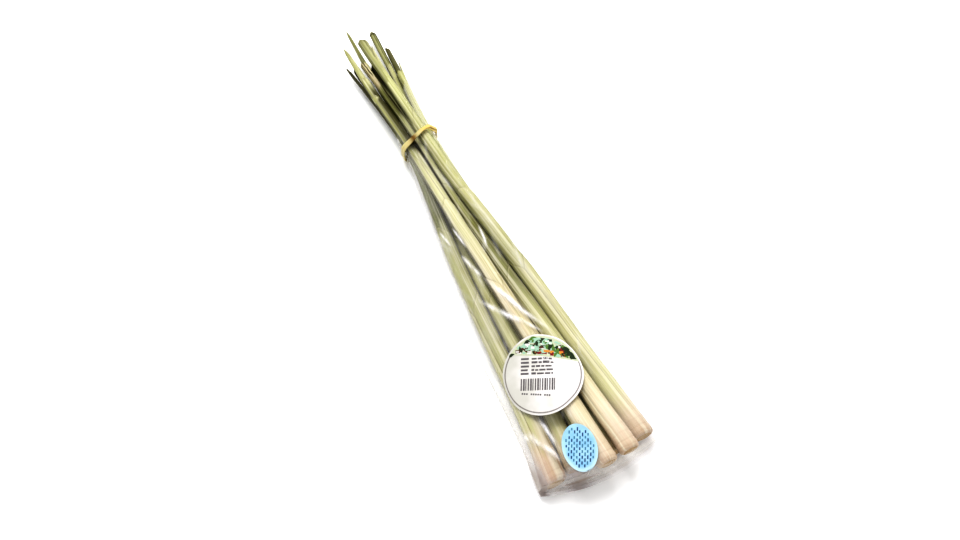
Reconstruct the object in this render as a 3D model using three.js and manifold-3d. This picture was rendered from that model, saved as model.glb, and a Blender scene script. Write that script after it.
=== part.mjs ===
// A pack of fresh lemongrass: seven long stalks lying flat in a clear film sleeve. A doubled rubber
// band gathers the sleeve near the cut tops, and a round paper label and a small oval sticker lie on
// the film over the bulbs. Millimetres, +Z up, +Y from the bulbs to the cut tops. The origin ends up
// on the surface under the middle of the pack.
import * as THREE from 'three';
import Module from 'manifold-3d';

const wasm = await Module();
wasm.setup();

// ---- Driving dimensions ------------------------------------------------------------------------
const AIR = 0.35;                 // clear air between neighbouring pieces
const FILM = 0.4;                 // wall of the sleeve
const FILM_SLACK = 1.3;           // from a stalk to the inside of the film
const FILM_TIGHT = 1.15;          // the same, under the rubber band
const SHEATH_EDGE = 0.35;         // height of the lap where a leaf sheath ends round the stalk
const SHEATH_STEP = 0.35;         // how much thinner the stalk gets where an outer sheath stops
const BULB_LENGTH = 26;           // how far up the swelling of the bulb reaches
const GROWTH_LENGTH = 400;        // length over which a stalk thins from neck to tip radius
const BLADE = 0.8;                // thickness of a cut leaf blade

const FIRST_STATION = -16;        // the bundle is settled section by section along Y
const STATION_STEP = 14;
const STATIONS = 34;

const SEAL_EDGE = -12.6;           // free edge of the bottom seal at its middle
const SEAL_ROOT = -9.6;           // where the two films meet
const SEAL_MIDDLE = 4;            // X of the furthest point of the bowed seal
const SEAL_BOW = 0.0036;          // how fast the seal runs back to the corners, per mm of X squared
const SEAL_HEIGHT = 5;
const SEAL_THICK = 0.8;
const END_WALL = -8.3;            // inside of the film over the bulb ends

const MOUTH_LEFT = 320;           // the sleeve is open here at its left side
const MOUTH_RIGHT = 374;          // and here at its right side
const MOUTH_HALF_WIDTH = 16;

const BAND_Y = 310;
const BAND_TILT = 0.2;            // rise along Y per mm of X
const BAND_WIDE = 2.8;            // section of the rubber strand
const BAND_THICK = 1.2;
const BAND_SPREAD = 2.0;          // half the distance between its two turns
const BAND_LIFT = 0.8;            // half the lift where one turn crosses the other
const BAND_START = 8;             // turns the place where the strands cross round the bundle
const BAND_ROOM = 3.3;            // how far the band holds the film off the surface

const LABEL = { x: -9.5, y: 76, radiusAcross: 32, radiusAlong: 32, turn: 0, thick: 0.35 };
const STICKER = { x: -12.5, y: 11.5, radiusAcross: 13, radiusAlong: 18.8, turn: -0.2, thick: 0.3 };

// Each stalk: radius of its neck and top, swelling of its bulb, where it starts and is cut, the side
// on which its outer sheath laps over, and the line that it is laid along as [y, x, z].
const STALKS = [
  { name: 'stalk_outer_left', neck: 8.5, tip: 3.2, swell: 1.7, start: 2, cut: 372, lap: 1.9,
    line: [[0, -36.3, 11], [50, -30.6, 10], [125, -27, 9], [190, -22.5, 8], [250, -15.5, 8],
      [295, -8.4, 9], [325, -8.6, 9.2], [360, -14, 10], [430, -22, 9]] },
  { name: 'stalk_inner_left', neck: 7.3, tip: 3.2, swell: 1.2, start: 3.5, cut: 352, lap: 2.6,
    line: [[0, -18.5, 9.5], [50, -13, 9], [125, -12, 8], [190, -12.5, 8], [250, -7, 8],
      [295, -0.9, 9], [325, -1.4, 9.2], [360, -7.5, 11], [440, -10, 13]] },
  { name: 'stalk_front', neck: 8.0, tip: 4.2, swell: 0.4, start: -7.4, cut: 384, lap: 0.7,
    line: [[0, 1.6, 25], [40, 0.2, 24], [125, -1, 22], [190, -5, 21], [250, -8.5, 20],
      [295, -9, 17.6], [325, -10, 17.6], [360, -16, 18], [430, -20.5, 18]] },
  { name: 'stalk_front_right', neck: 7.4, tip: 3.5, swell: 0.6, start: -2.6, cut: 399, lap: 2.2,
    line: [[0, 21, 24], [40, 18, 22], [125, 12, 20], [190, 8, 16], [250, 2, 15],
      [295, -0.6, 17.2], [325, -1.6, 17.2], [360, -6.5, 16], [430, -12.5, 15]] },
  { name: 'stalk_outer_right', neck: 8.3, tip: 4.2, swell: 0.6, start: 3, cut: 398, lap: 1.2,
    line: [[0, 41, 10], [40, 36, 12], [85, 29.6, 15], [125, 23.5, 17], [190, 15, 20], [250, 7, 23],
      [295, 3, 25], [325, 2.8, 24.5], [360, 1, 23], [430, -5, 21]] },
  { name: 'stalk_back_left', neck: 7.2, tip: 3.1, swell: 0.8, start: 1, cut: 392, lap: 2.0,
    line: [[0, -2, 9], [50, 1, 8.5], [125, 1, 7.5], [190, 2.5, 7.5], [250, 4, 8],
      [295, 6.4, 9], [325, 6.6, 9.2], [360, 8.5, 11], [440, 10.5, 13]] },
  { name: 'stalk_back_right', neck: 7.2, tip: 3.4, swell: 0.8, start: 2, cut: 380, lap: 1.5,
    line: [[0, 15, 9], [50, 17, 8.5], [125, 16, 8], [190, 17, 9], [250, 13.5, 14],
      [295, 7.6, 16.8], [325, 7.8, 16.8], [360, 12, 15], [430, 17.5, 12]] },
];

// The cut leaves at the top of each stalk: where each leaves the stalk and ends, the way its back
// faces round the stalk, half its opening angle at both places, its radius at the end, and how far
// it bends away by its end, in X and Z.
const LEAVES = {
  stalk_outer_left: [
    { from: 352, to: 407, faces: 2.4, open: [2.2, 1.5], radius: 1.8, bend: [0, 0] }],
  stalk_inner_left: [
    { from: 330, to: 441, faces: 1.6, open: [2.4, 1.3], radius: 1.3, bend: [0, 1] }],
  stalk_front: [
    { from: 362, to: 422, faces: 1.9, open: [2.3, 1.4], radius: 1.4, bend: [0, 0] }],
  stalk_front_right: [
    { from: 372, to: 395, faces: 1.3, open: [1.0, 0.7], radius: 4.0, bend: [0.2, 0.9] }],
  stalk_outer_right: [
    { from: 374, to: 420, faces: 1.6, open: [2.1, 1.5], radius: 4.3, bend: [0, 0] },
    { from: 380, to: 412, faces: 0.2, open: [0.9, 0.7], radius: 4.0, bend: [1.6, 0] }],
  stalk_back_left: [
    { from: 368, to: 434, faces: -1.4, open: [2.2, 1.3], radius: 2.8, bend: [0, 0] }],
  stalk_back_right: [
    { from: 358, to: 410, faces: 2.6, open: [2.1, 1.3], radius: 2.4, bend: [0, 0] },
    { from: 352, to: 392, faces: 0.1, open: [1.0, 0.6], radius: 3.2, bend: [0.6, -0.6] }],
};

// ---- Small helpers -----------------------------------------------------------------------------
const lerp = THREE.MathUtils.lerp;
const clamp = THREE.MathUtils.clamp;
const at = (x, y, z) => new THREE.Vector3(x, y, z);

function stationY(k) {
  return FIRST_STATION + k * STATION_STEP;
}

// A closed body from rings of equal length, with flat ends. Faces point outward.
function loft(rings) {
  const n = rings[0].length;
  const index = [];
  for (let r = 0; r + 1 < rings.length; r++) {
    for (let i = 0; i < n; i++) {
      const j = (i + 1) % n;
      const a = r * n + i, b = r * n + j, c = a + n, d = b + n;
      index.push(a, b, d, a, d, c);
    }
  }
  endCap(rings[0]).forEach(([a, b, c]) => index.push(a, c, b));
  const last = (rings.length - 1) * n;
  endCap(rings[rings.length - 1]).forEach(([a, b, c]) => index.push(last + a, last + b, last + c));
  return closedBody(rings.flat(), index);
}

// Triangles that fill a ring, zigzagging between its two sides.
function endCap(ring) {
  const faces = [];
  for (let a = 0, b = ring.length - 1; b - a > 1; a++, b--) {
    faces.push([a, a + 1, b]);
    if (b - a > 2) faces.push([a + 1, b - 1, b]);
  }
  return faces;
}

function closedBody(points, index) {
  const geometry = new THREE.BufferGeometry().setFromPoints(points);
  let volume = 0;
  for (let t = 0; t < index.length; t += 3) {
    const [a, b, c] = [points[index[t]], points[index[t + 1]], points[index[t + 2]]];
    volume += a.dot(b.clone().cross(c));
  }
  if (volume < 0) {
    for (let t = 0; t < index.length; t += 3) [index[t], index[t + 1]] = [index[t + 1], index[t]];
  }
  geometry.setIndex(index);
  return geometry;
}

function toSolid(geometry) {
  return new wasm.Manifold(new wasm.Mesh({
    numProp: 3,
    vertProperties: new Float32Array(geometry.attributes.position.array),
    triVerts: new Uint32Array(geometry.index.array),
  }));
}

function toGeometry(solid) {
  const mesh = solid.getMesh();
  const geometry = new THREE.BufferGeometry();
  geometry.setAttribute('position', new THREE.BufferAttribute(mesh.vertProperties, 3));
  geometry.setIndex(new THREE.BufferAttribute(mesh.triVerts, 1));
  return geometry;
}

// The film lies on the surface from the seal to here, and from here rises to pass over the band.
const LAST_REST = 225;
function liftAt(y) {
  return BAND_ROOM * THREE.MathUtils.smoothstep(y, LAST_REST, BAND_Y - 12);
}

// From a stalk to the inside of the film.
function slackAt(y) {
  return lerp(FILM_SLACK, FILM_TIGHT, THREE.MathUtils.smoothstep(y, LAST_REST, BAND_Y - 12));
}

// ---- The bundle: how thick each stalk is and where it lies ----------------------------------------
function stalkRadius(stalk, y) {
  const s = Math.max(0, y - stalk.start);
  const bulb = stalk.swell * Math.exp(-((s / BULB_LENGTH) ** 2));
  const shed = collars(stalk).filter((collar) => collar < y).length;
  return lerp(stalk.neck, stalk.tip, s / GROWTH_LENGTH) + bulb - shed * SHEATH_STEP;
}

// Where each outer sheath of a stalk was cut or peeled away, as places along Y.
function collars({ start, cut, lap }) {
  return [0.42, 0.62, 0.8].map((share) => lerp(start, cut, share + 0.03 * Math.sin(9 * lap + 20 * share)));
}

function lineAt(line, y) {
  const curve = new THREE.CatmullRomCurve3(line.map(([v, x, z]) => at(x, v, z)), false, 'centripetal');
  let low = 0, high = 1;
  for (let i = 0; i < 24; i++) {
    const mid = (low + high) / 2;
    if (curve.getPoint(mid).y < y) low = mid; else high = mid;
  }
  const p = curve.getPoint((low + high) / 2);
  return { x: p.x, z: p.z };
}

// Lays the stalks along their lines, then lets them push each other apart, sink onto the film and
// straighten, until every pair is clear at every section.
function settle() {
  const places = STALKS.map((stalk) => {
    const rows = [];
    for (let k = 0; k < STATIONS; k++) {
      rows.push({ ...lineAt(stalk.line, stationY(k)), r: stalkRadius(stalk, stationY(k)) });
    }
    return rows;
  });
  const wanted = places.map((rows) => rows.map((p) => ({ ...p })));
  const ROUNDS = 500, FINISH = 200, PULL = 0.03, SINK = 0.02, STIFF = 0.25;
  for (let round = 0; round < ROUNDS + FINISH; round++) {
    if (round < ROUNDS) {
      places.forEach((rows, i) => rows.forEach((p, k) => {
        p.x += PULL * (wanted[i][k].x - p.x);
        p.z += PULL * (wanted[i][k].z - p.z) - SINK;
      }));
      places.forEach((rows) => {
        const before = rows.map((p) => ({ ...p }));
        for (let k = 1; k + 1 < STATIONS; k++) {
          rows[k].x += STIFF * ((before[k - 1].x + before[k + 1].x) / 2 - before[k].x);
          rows[k].z += STIFF * ((before[k - 1].z + before[k + 1].z) / 2 - before[k].z);
        }
      });
    }
    for (let k = 0; k < STATIONS; k++) pushApart(places.map((rows) => rows[k]), stationY(k));
  }
  return places;
}

function pushApart(circles, y) {
  const room = AIR + 1.3 * SHEATH_EDGE;
  circles.forEach((a, i) => circles.slice(i + 1).forEach((b) => {
    const dx = b.x - a.x, dz = b.z - a.z;
    const distance = Math.hypot(dx, dz);
    const short = a.r + b.r + room - distance;
    if (short > 0) {
      const step = short / 2 / distance;
      a.x -= dx * step;
      a.z -= dz * step;
      b.x += dx * step;
      b.z += dz * step;
    }
  }));
  const floor = FILM + slackAt(y) + liftAt(y);
  circles.forEach((c) => { c.z = Math.max(c.z, c.r + floor); });
}

const PLACES = settle();

// Centre and radius of stalk i at any Y, smooth between the settled sections.
const ROUTES = PLACES.map((rows) => new THREE.CatmullRomCurve3(
  rows.map((p, k) => at(p.x, stationY(k), p.z)), false, 'catmullrom', 0.5));

function section(i, y) {
  const t = clamp((y - FIRST_STATION) / STATION_STEP / (STATIONS - 1), 0, 1);
  const p = ROUTES[i].getPoint(t);
  return { x: p.x, z: p.z, r: stalkRadius(STALKS[i], y) };
}

// ---- Stalks ------------------------------------------------------------------------------------
// One round of a stalk. Its outer sheath laps over itself: the surface rises by the height of the
// lap at one angle and falls back evenly round the stalk.
const ROUND_POINTS = 14;
const RING_STEP = 19;
const COLLAR_LEAN = 2.2;
const CUT_BEVEL = 0.9;
function stalkRing(i, y, scale, lean) {
  const { x, z, r } = section(i, y);
  const lap = STALKS[i].lap + (y - STALKS[i].start) * 0.0035;
  const ring = [];
  for (let n = 0; n < ROUND_POINTS; n++) {
    const turn = n === 0 ? 0 : (n - 0.9) / (ROUND_POINTS - 0.9);
    const rise = n === 0 ? 0 : SHEATH_EDGE * (1 - turn);
    const angle = lap + turn * 2 * Math.PI;
    const reach = (r + rise) * scale;
    ring.push(at(x + reach * Math.cos(angle), y + lean * Math.sin(angle), z + reach * Math.sin(angle)));
  }
  return ring;
}

function stalkBody(i) {
  const { start, cut } = STALKS[i];
  const foot = [[0, 0.72], [1, 0.93], [4.5, 1.02], [7, 0.985], [13, 1], [22, 1], [34, 1]];
  const rings = foot.map(([up, scale]) => stalkRing(i, start + up, scale, 0));
  const edges = [...collars(STALKS[i]), cut];
  let y = start + 34;
  edges.forEach((edge) => {
    const steps = Math.max(1, Math.round((edge - y) / RING_STEP));
    for (let s = 1; s < steps; s++) rings.push(stalkRing(i, lerp(y, edge, s / steps), 1, 0));
    const trim = edge === cut ? CUT_BEVEL : 0;
    rings.push(stalkRing(i, edge - trim, 1, COLLAR_LEAN));
    rings.push(stalkRing(i, edge + 0.8 - trim, 1 - trim / 8, COLLAR_LEAN));
    y = edge;
  });
  return loft(rings);
}

// A cut leaf: a thin trough that hugs the stalk at its root and opens towards its end.
const TROUGH_POINTS = 6;
function leaf(i, { from, to, faces, open, radius, bend }) {
  const STEPS = 7;
  const root = stalkRadius(STALKS[i], from) + 0.2;
  const rings = [];
  for (let s = 0; s <= STEPS; s++) {
    const share = s / STEPS;
    const y = lerp(from, to, share);
    const { x, z } = section(i, y);
    const outer = lerp(root, radius, share);
    const half = lerp(open[0], open[1], share);
    const away = share * share;
    const arc = (reach) => Array.from({ length: TROUGH_POINTS }, (_, n) => {
      const angle = faces + half * (2 * n / (TROUGH_POINTS - 1) - 1);
      return at(x + bend[0] * away + reach * Math.cos(angle), y,
        z + bend[1] * away + reach * Math.sin(angle));
    });
    rings.push([...arc(outer), ...arc(Math.max(outer - BLADE, 0.35)).reverse()]);
  }
  return loft(rings);
}

function stalk(i) {
  let solid = toSolid(stalkBody(i));
  LEAVES[STALKS[i].name].forEach((shape) => { solid = solid.add(toSolid(leaf(i, shape))); });
  return toGeometry(solid);
}

// ---- Film sleeve -------------------------------------------------------------------------------
// The film's side creases: how far the flat edges stand out past the stalks, at left and right.
function creaseReach(y) {
  const open = clamp((BAND_Y - y) / 60, 0, 1);
  const middle = Math.sin(Math.PI * clamp(y / BAND_Y, 0, 1));
  const flare = 2.4 * clamp((y - BAND_Y - 10) / 40, 0, 1);
  return { left: open * (1.2 + 5.5 * middle), right: open * (1.2 + 3.0 * middle) + flare };
}

// Outline of the film, offset from its inside: half of its points run from the right crease over the top to
// the left one, the rest back underneath. A bow draws the section back towards the corners.
const DIRECTIONS = 96;
const CREASE_HEIGHT = 6;
function filmOutline(y, offset, bow = 0) {
  const grow = slackAt(y) + offset;
  const circles = STALKS.map((_, i) => {
    const middle = section(i, y);
    const own = section(i, y + bow * (middle.x - SEAL_MIDDLE) ** 2);
    return { ...own, r: own.r + grow };
  });
  const reach = creaseReach(y);
  const left = Math.min(...circles.map((c) => c.x - c.r));
  const right = Math.max(...circles.map((c) => c.x + c.r));
  const floor = FILM - offset + liftAt(y);
  const FOOT = 3;
  circles.push(
    { x: left - reach.left, z: CREASE_HEIGHT + liftAt(y), r: 0 },
    { x: right + reach.right, z: CREASE_HEIGHT + liftAt(y), r: 0 },
    { x: left + FOOT, z: floor, r: 0 },
    { x: right - FOOT, z: floor, r: 0 },
  );
  return Array.from({ length: DIRECTIONS }, (_, d) => {
    const angle = 2 * Math.PI * d / DIRECTIONS;
    const [ux, uz] = [Math.cos(angle), Math.sin(angle)];
    const far = circles.reduce((best, c) => (
      c.x * ux + c.z * uz + c.r > best.x * ux + best.z * uz + best.r ? c : best));
    return new THREE.Vector2(far.x + far.r * ux, Math.max(far.z + far.r * uz, floor));
  });
}

// Height of the top of an outline over x.
function topHeight(outline, x) {
  const top = outline.slice(0, DIRECTIONS / 2 + 1);
  const n = top.findIndex((p, d) => d > 0 && p.x <= x && top[d - 1].x >= x && top[d - 1].x > p.x);
  if (n < 0) return CREASE_HEIGHT;
  return lerp(top[n - 1].y, top[n].y, (top[n - 1].x - x) / (top[n - 1].x - top[n].x));
}

// Points along a chain, closer together where it curves, without its last point.
const CURVE_SHARE = 0.6;
function spread(chain, count) {
  const corners = chain.filter((p, i) => i === 0 || p.distanceTo(chain[i - 1]) > 1e-3);
  const steps = corners.slice(1).map((p, i) => p.distanceTo(corners[i]));
  const length = steps.reduce((sum, step) => sum + step, 0);
  const run = [0];
  steps.forEach((step) => {
    run.push(run.at(-1) + (1 - CURVE_SHARE) * step / length + CURVE_SHARE / steps.length);
  });
  return Array.from({ length: count }, (_, n) => {
    const goal = n / count;
    const i = Math.max(1, run.findIndex((d) => d >= goal));
    return corners[i - 1].clone().lerp(corners[i], (goal - run[i - 1]) / (run[i] - run[i - 1]));
  });
}

// One closed round of film. A pressed round lies flat in the seal.
const CHAIN_POINTS = 13;
function filmRing(y, offset, bow = 0, pressed = false) {
  const outline = filmOutline(y, offset, bow);
  const half = DIRECTIONS / 2;
  const over = spread(outline.slice(0, half + 1), CHAIN_POINTS);
  const under = spread([...outline.slice(half), outline[0]], CHAIN_POINTS);
  const [right, left] = [over[0].x, under[0].x];
  return [...over, ...under].map((p, n) => {
    let { x, y: z } = p;
    if (pressed) {
      const across = n / CHAIN_POINTS;
      const side = across % 1 === 0 ? 0 : Math.sign(1 - across);
      x = lerp(right, left, across < 1 ? across : 2 - across);
      z = SEAL_HEIGHT + side * SEAL_THICK / 2;
    }
    return at(x, y + bow * (x - SEAL_MIDDLE) ** 2, z);
  });
}

function sleeve() {
  const outside = FILM;
  const inside = 0;
  const stations = [-2, 6, 16, 28, 42, 58, 76, 96, 118, 140, 162, 184, 206, 228, 250, 266, 280, 292, 302,
    312, 322, 336, 352, 368, 384];
  const bowAt = (y) => SEAL_BOW * clamp((60 - y) / 60, 0, 1);
  const rings = [
    filmRing(SEAL_EDGE, outside, SEAL_BOW, true),
    filmRing(SEAL_ROOT, outside, SEAL_BOW, true),
    filmRing(END_WALL - FILM, outside, SEAL_BOW),
    ...stations.map((y) => filmRing(y, outside, bowAt(y))),
    ...stations.reverse().map((y) => filmRing(y, inside, bowAt(y))),
    filmRing(END_WALL, inside, SEAL_BOW),
  ];
  const whole = toSolid(loft(rings));
  return toGeometry(whole.subtract(toSolid(mouthCut())));
}

// Everything past the slanted mouth.
function mouthCut() {
  const SIZE = 200;
  const slope = Math.atan2(MOUTH_RIGHT - MOUTH_LEFT, 2 * MOUTH_HALF_WIDTH);
  const box = new THREE.BoxGeometry(SIZE, SIZE, SIZE);
  box.translate(0, SIZE / 2, 0);
  box.rotateZ(slope);
  box.translate(0, (MOUTH_LEFT + MOUTH_RIGHT) / 2, 0);
  return weld(box);
}

// Joins the equal corners of an unshared mesh.
function weld(geometry) {
  const corners = new Map();
  const points = [];
  const position = geometry.attributes.position;
  const index = Array.from(geometry.index.array, (v) => {
    const p = new THREE.Vector3().fromBufferAttribute(position, v);
    const key = p.toArray().map((c) => c.toFixed(4)).join();
    if (!corners.has(key)) corners.set(key, points.push(p) - 1);
    return corners.get(key);
  });
  return closedBody(points, index);
}

// ---- Rubber band -------------------------------------------------------------------------------
// One endless loop wound twice round the gathered film. Its turns lie side by side and cross once.
const TURN_STEPS = 30;
const STRAND_SIDES = 6;
function rubberBand() {
  const outline = filmOutline(BAND_Y, FILM + AIR + BAND_LIFT + BAND_THICK / 2);
  const path = spread([...outline, outline[0]], TURN_STEPS);
  const rings = [];
  for (let s = 0; s < 2 * TURN_STEPS; s++) {
    const here = path[s % TURN_STEPS];
    const along = path[(s + 1) % TURN_STEPS].clone().sub(path[(s + TURN_STEPS - 1) % TURN_STEPS]).normalize();
    const half = Math.PI * (s + BAND_START) / TURN_STEPS;
    const aside = BAND_SPREAD * Math.cos(half);
    const lift = BAND_LIFT * Math.sin(half);
    rings.push(Array.from({ length: STRAND_SIDES }, (_, n) => {
      const angle = 2 * Math.PI * (n + 0.5) / STRAND_SIDES;
      const out = lift + BAND_THICK / 2 * Math.sin(angle);
      const x = here.x + out * along.y;
      return at(x, BAND_Y + BAND_TILT * x + aside + BAND_WIDE / 2 * Math.cos(angle), here.y - out * along.x);
    }));
  }
  return closedLoop(rings);
}

// A closed body from rings that run round and meet again. The last ring meets the first directly.
function closedLoop(rings) {
  const n = rings[0].length;
  const index = [];
  rings.forEach((_, r) => {
    const next = (r + 1) % rings.length;
    for (let i = 0; i < n; i++) {
      const j = (i + 1) % n;
      const [a, b, c, d] = [r * n + i, r * n + j, next * n + i, next * n + j];
      index.push(a, b, d, a, d, c);
    }
  });
  return closedBody(rings.flat(), index);
}

// ---- Labels ------------------------------------------------------------------------------------
// Point on the top of the film at arc length u across from x0, raised by lift.
function onFilm(x0, u, y, lift) {
  const bow = SEAL_BOW * clamp((60 - y) / 60, 0, 1);
  const own = y - bow * (x0 - SEAL_MIDDLE) ** 2;
  const outline = filmOutline(own, FILM, bow);
  const STEP = 0.5 * Math.sign(u || 1);
  let x = x0;
  let z = topHeight(outline, x);
  let left = Math.abs(u);
  while (left > 1e-6) {
    const dx = STEP * Math.min(1, left / Math.abs(STEP));
    const nz = topHeight(outline, x + dx);
    const run = Math.hypot(dx, nz - z);
    const share = Math.min(1, left / run);
    x += dx * share;
    z += (nz - z) * share;
    left -= run * share;
  }
  return at(x, y, z + lift);
}

function label({ x, y, radiusAcross, radiusAlong, turn, thick }) {
  const RINGS = 5;
  const ROUND = 30;
  const LIFT = AIR + 0.75;
  const place = (ring, n, lift) => {
    const angle = 2 * Math.PI * n / ROUND;
    const across = radiusAcross * ring / RINGS * Math.cos(angle);
    const along = radiusAlong * ring / RINGS * Math.sin(angle);
    const u = across * Math.cos(turn) - along * Math.sin(turn);
    const v = across * Math.sin(turn) + along * Math.cos(turn);
    return onFilm(x, u, y + v, lift);
  };
  const points = [];
  const index = [];
  const side = (lift, flip) => {
    const first = points.length;
    points.push(place(0, 0, lift));
    for (let ring = 1; ring <= RINGS; ring++) {
      for (let n = 0; n < ROUND; n++) points.push(place(ring, n, lift));
    }
    const push = (a, b, c) => index.push(...(flip ? [a, c, b] : [a, b, c]));
    for (let n = 0; n < ROUND; n++) {
      const m = (n + 1) % ROUND;
      push(first, first + 1 + n, first + 1 + m);
      for (let ring = 0; ring + 1 < RINGS; ring++) {
        const a = first + 1 + ring * ROUND;
        push(a + n, a + ROUND + n, a + ROUND + m);
        push(a + n, a + ROUND + m, a + m);
      }
    }
    return first + 1 + (RINGS - 1) * ROUND;
  };
  const top = side(LIFT + thick, false);
  const bottom = side(LIFT, true);
  for (let n = 0; n < ROUND; n++) {
    const m = (n + 1) % ROUND;
    index.push(top + n, bottom + n, bottom + m, top + n, bottom + m, top + m);
  }
  return closedBody(points, index);
}

// ---- Assembly ----------------------------------------------------------------------------------
const FINISH = {
  stalk: { color: 0xdcd8a4, roughness: 0.5, metalness: 0 },
  greenStalk: { color: 0xc3cb86, roughness: 0.5, metalness: 0 },
  film: { color: 0xf2f4f6, roughness: 0.12, metalness: 0, transparent: true, opacity: 0.25 },
  band: { color: 0xe3b23c, roughness: 0.55, metalness: 0 },
  paper: { color: 0xf7f6f2, roughness: 0.5, metalness: 0 },
  bluePaper: { color: 0x8fc3e2, roughness: 0.45, metalness: 0 },
};

function piece(name, geometry, finish) {
  const mesh = new THREE.Mesh(geometry, new THREE.MeshStandardMaterial(finish));
  mesh.name = name;
  return mesh;
}

const group = new THREE.Group();
STALKS.forEach(({ name }, i) => {
  const finish = /right|back/.test(name) ? FINISH.greenStalk : FINISH.stalk;
  group.add(piece(name, stalk(i), finish));
});
group.add(piece('film_sleeve', sleeve(), FINISH.film));
group.add(piece('rubber_band', rubberBand(), FINISH.band));
group.add(piece('round_label', label(LABEL), FINISH.paper));
group.add(piece('oval_sticker', label(STICKER), FINISH.bluePaper));

// The origin moves to the surface under the middle of the pack.
const box = new THREE.Box3().setFromObject(group);
const middle = box.getCenter(new THREE.Vector3());
group.position.set(-middle.x, -middle.y, -box.min.z);
group.updateMatrixWorld(true);

export default group;
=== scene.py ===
"""A bundle of lemongrass in a clear film sleeve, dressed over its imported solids.

Lengths are in millimetres in the row frame until a mesh is made from them.
"""
import itertools
import math

import bpy
import numpy as np
from mathutils import Matrix, Vector
from mathutils.bvhtree import BVHTree


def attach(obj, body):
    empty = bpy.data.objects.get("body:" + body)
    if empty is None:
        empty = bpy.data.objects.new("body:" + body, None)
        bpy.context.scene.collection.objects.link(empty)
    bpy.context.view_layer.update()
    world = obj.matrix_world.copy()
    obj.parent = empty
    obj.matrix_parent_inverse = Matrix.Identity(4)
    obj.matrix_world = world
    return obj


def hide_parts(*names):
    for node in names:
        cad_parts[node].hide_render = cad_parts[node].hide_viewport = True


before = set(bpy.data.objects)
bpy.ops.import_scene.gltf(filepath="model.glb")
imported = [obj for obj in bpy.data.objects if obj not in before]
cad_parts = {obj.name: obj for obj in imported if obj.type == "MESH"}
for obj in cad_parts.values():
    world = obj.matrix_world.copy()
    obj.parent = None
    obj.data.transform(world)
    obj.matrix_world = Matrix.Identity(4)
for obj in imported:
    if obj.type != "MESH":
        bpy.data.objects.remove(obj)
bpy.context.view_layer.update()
MM = 0.001
TURN = 2 * math.pi

# ---- Camera ----
AZIMUTH, ELEVATION, DISTANCE = math.radians(-26.62), math.radians(64), 1.0654
TARGET = Vector((-0.00865, -0.03079, 0.01))
back = Vector((math.sin(AZIMUTH) * math.cos(ELEVATION),
               -math.cos(AZIMUTH) * math.cos(ELEVATION), math.sin(ELEVATION)))
right = Vector((math.cos(AZIMUTH), math.sin(AZIMUTH), 0))
camera = bpy.data.objects.new("camera", bpy.data.cameras.new("camera"))
camera.data.lens = 50
camera.data.sensor_width = 36
camera.data.clip_start = 0.05
camera.matrix_world = (Matrix.Translation(TARGET + back * DISTANCE)
                       @ Matrix((right, back.cross(right), back)).transposed().to_4x4())
bpy.context.scene.collection.objects.link(camera)
bpy.context.scene.camera = camera

# ---- The stalks: the same girths and lines as the solids ----
LAID_X, LAID_Y = -0.62, -214.2  # from the lines' own origin to the frame's
# Each stalk: radius of its neck and top, swelling of its bulb, where it starts and is cut, how much
# further its foot reaches than the solid's, the side on which its outer sheath laps over, and the
# line that it is laid along as (y, x, z).
STALKS = {
    "stalk_outer_left": dict(
        neck=8.5, tip=3.2, swell=1.7, start=-212.2, cut=157.8, longer=2, lap=1.9,
        line=[(0, -36.3, 11), (50, -30.6, 10), (125, -27, 9), (190, -22.5, 8), (250, -15.5, 8),
              (295, -8.4, 9), (325, -8.6, 9.2), (360, -14, 10), (430, -22, 9)]),
    "stalk_inner_left": dict(
        neck=7.3, tip=3.2, swell=1.2, start=-210.7, cut=137.8, lap=2.6,
        line=[(0, -18.5, 9.5), (50, -13, 9), (125, -12, 8), (190, -12.5, 8), (250, -7, 8),
              (295, -0.9, 9), (325, -1.4, 9.2), (360, -7.5, 11), (440, -10, 13)]),
    "stalk_front": dict(
        neck=8, tip=4.2, swell=0.4, start=-221.6, cut=169.8, lap=0.7,
        line=[(0, 1.6, 25), (40, 0.2, 24), (125, -1, 22), (190, -5, 21), (250, -8.5, 20),
              (295, -9, 17.6), (325, -10, 17.6), (360, -16, 18), (430, -20.5, 18)]),
    "stalk_front_right": dict(
        neck=7.4, tip=3.5, swell=0.6, start=-216.8, cut=184.8, longer=3, lap=2.2,
        line=[(0, 21, 24), (40, 18, 22), (125, 12, 20), (190, 8, 16), (250, 2, 15),
              (295, -0.6, 17.2), (325, -1.6, 17.2), (360, -6.5, 16), (430, -12.5, 15)]),
    "stalk_outer_right": dict(
        neck=8.3, tip=4.2, swell=0.6, start=-211.2, cut=183.8, lap=1.2,
        line=[(0, 41, 10), (40, 36, 12), (85, 29.6, 15), (125, 23.5, 17), (190, 15, 20), (250, 7, 23),
              (295, 3, 25), (325, 2.8, 24.5), (360, 1, 23), (430, -5, 21)]),
    "stalk_back_left": dict(
        neck=7.2, tip=3.1, swell=0.8, start=-213.2, cut=177.8, lap=2,
        line=[(0, -2, 9), (50, 1, 8.5), (125, 1, 7.5), (190, 2.5, 7.5), (250, 4, 8),
              (295, 6.4, 9), (325, 6.6, 9.2), (360, 8.5, 11), (440, 10.5, 13)]),
    "stalk_back_right": dict(
        neck=7.2, tip=3.4, swell=0.8, start=-212.2, cut=165.8, lap=1.5,
        line=[(0, 15, 9), (50, 17, 8.5), (125, 16, 8), (190, 17, 9), (250, 13.5, 14),
              (295, 7.6, 16.8), (325, 7.8, 16.8), (360, 12, 15), (430, 17.5, 12)]),
}
FIRST_Y, STEP_Y, STATIONS = -230.2, 14, 34  # the stalks are settled at sections this far apart
GROWTH, BULB = 400, 26  # a stalk thins over the one length, and its bulb swells over the other
SHEATH_STEP, SHEATH_EDGE = 0.35, 0.35  # how much a stalk thins where a sheath ends, and a lap's height
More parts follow.
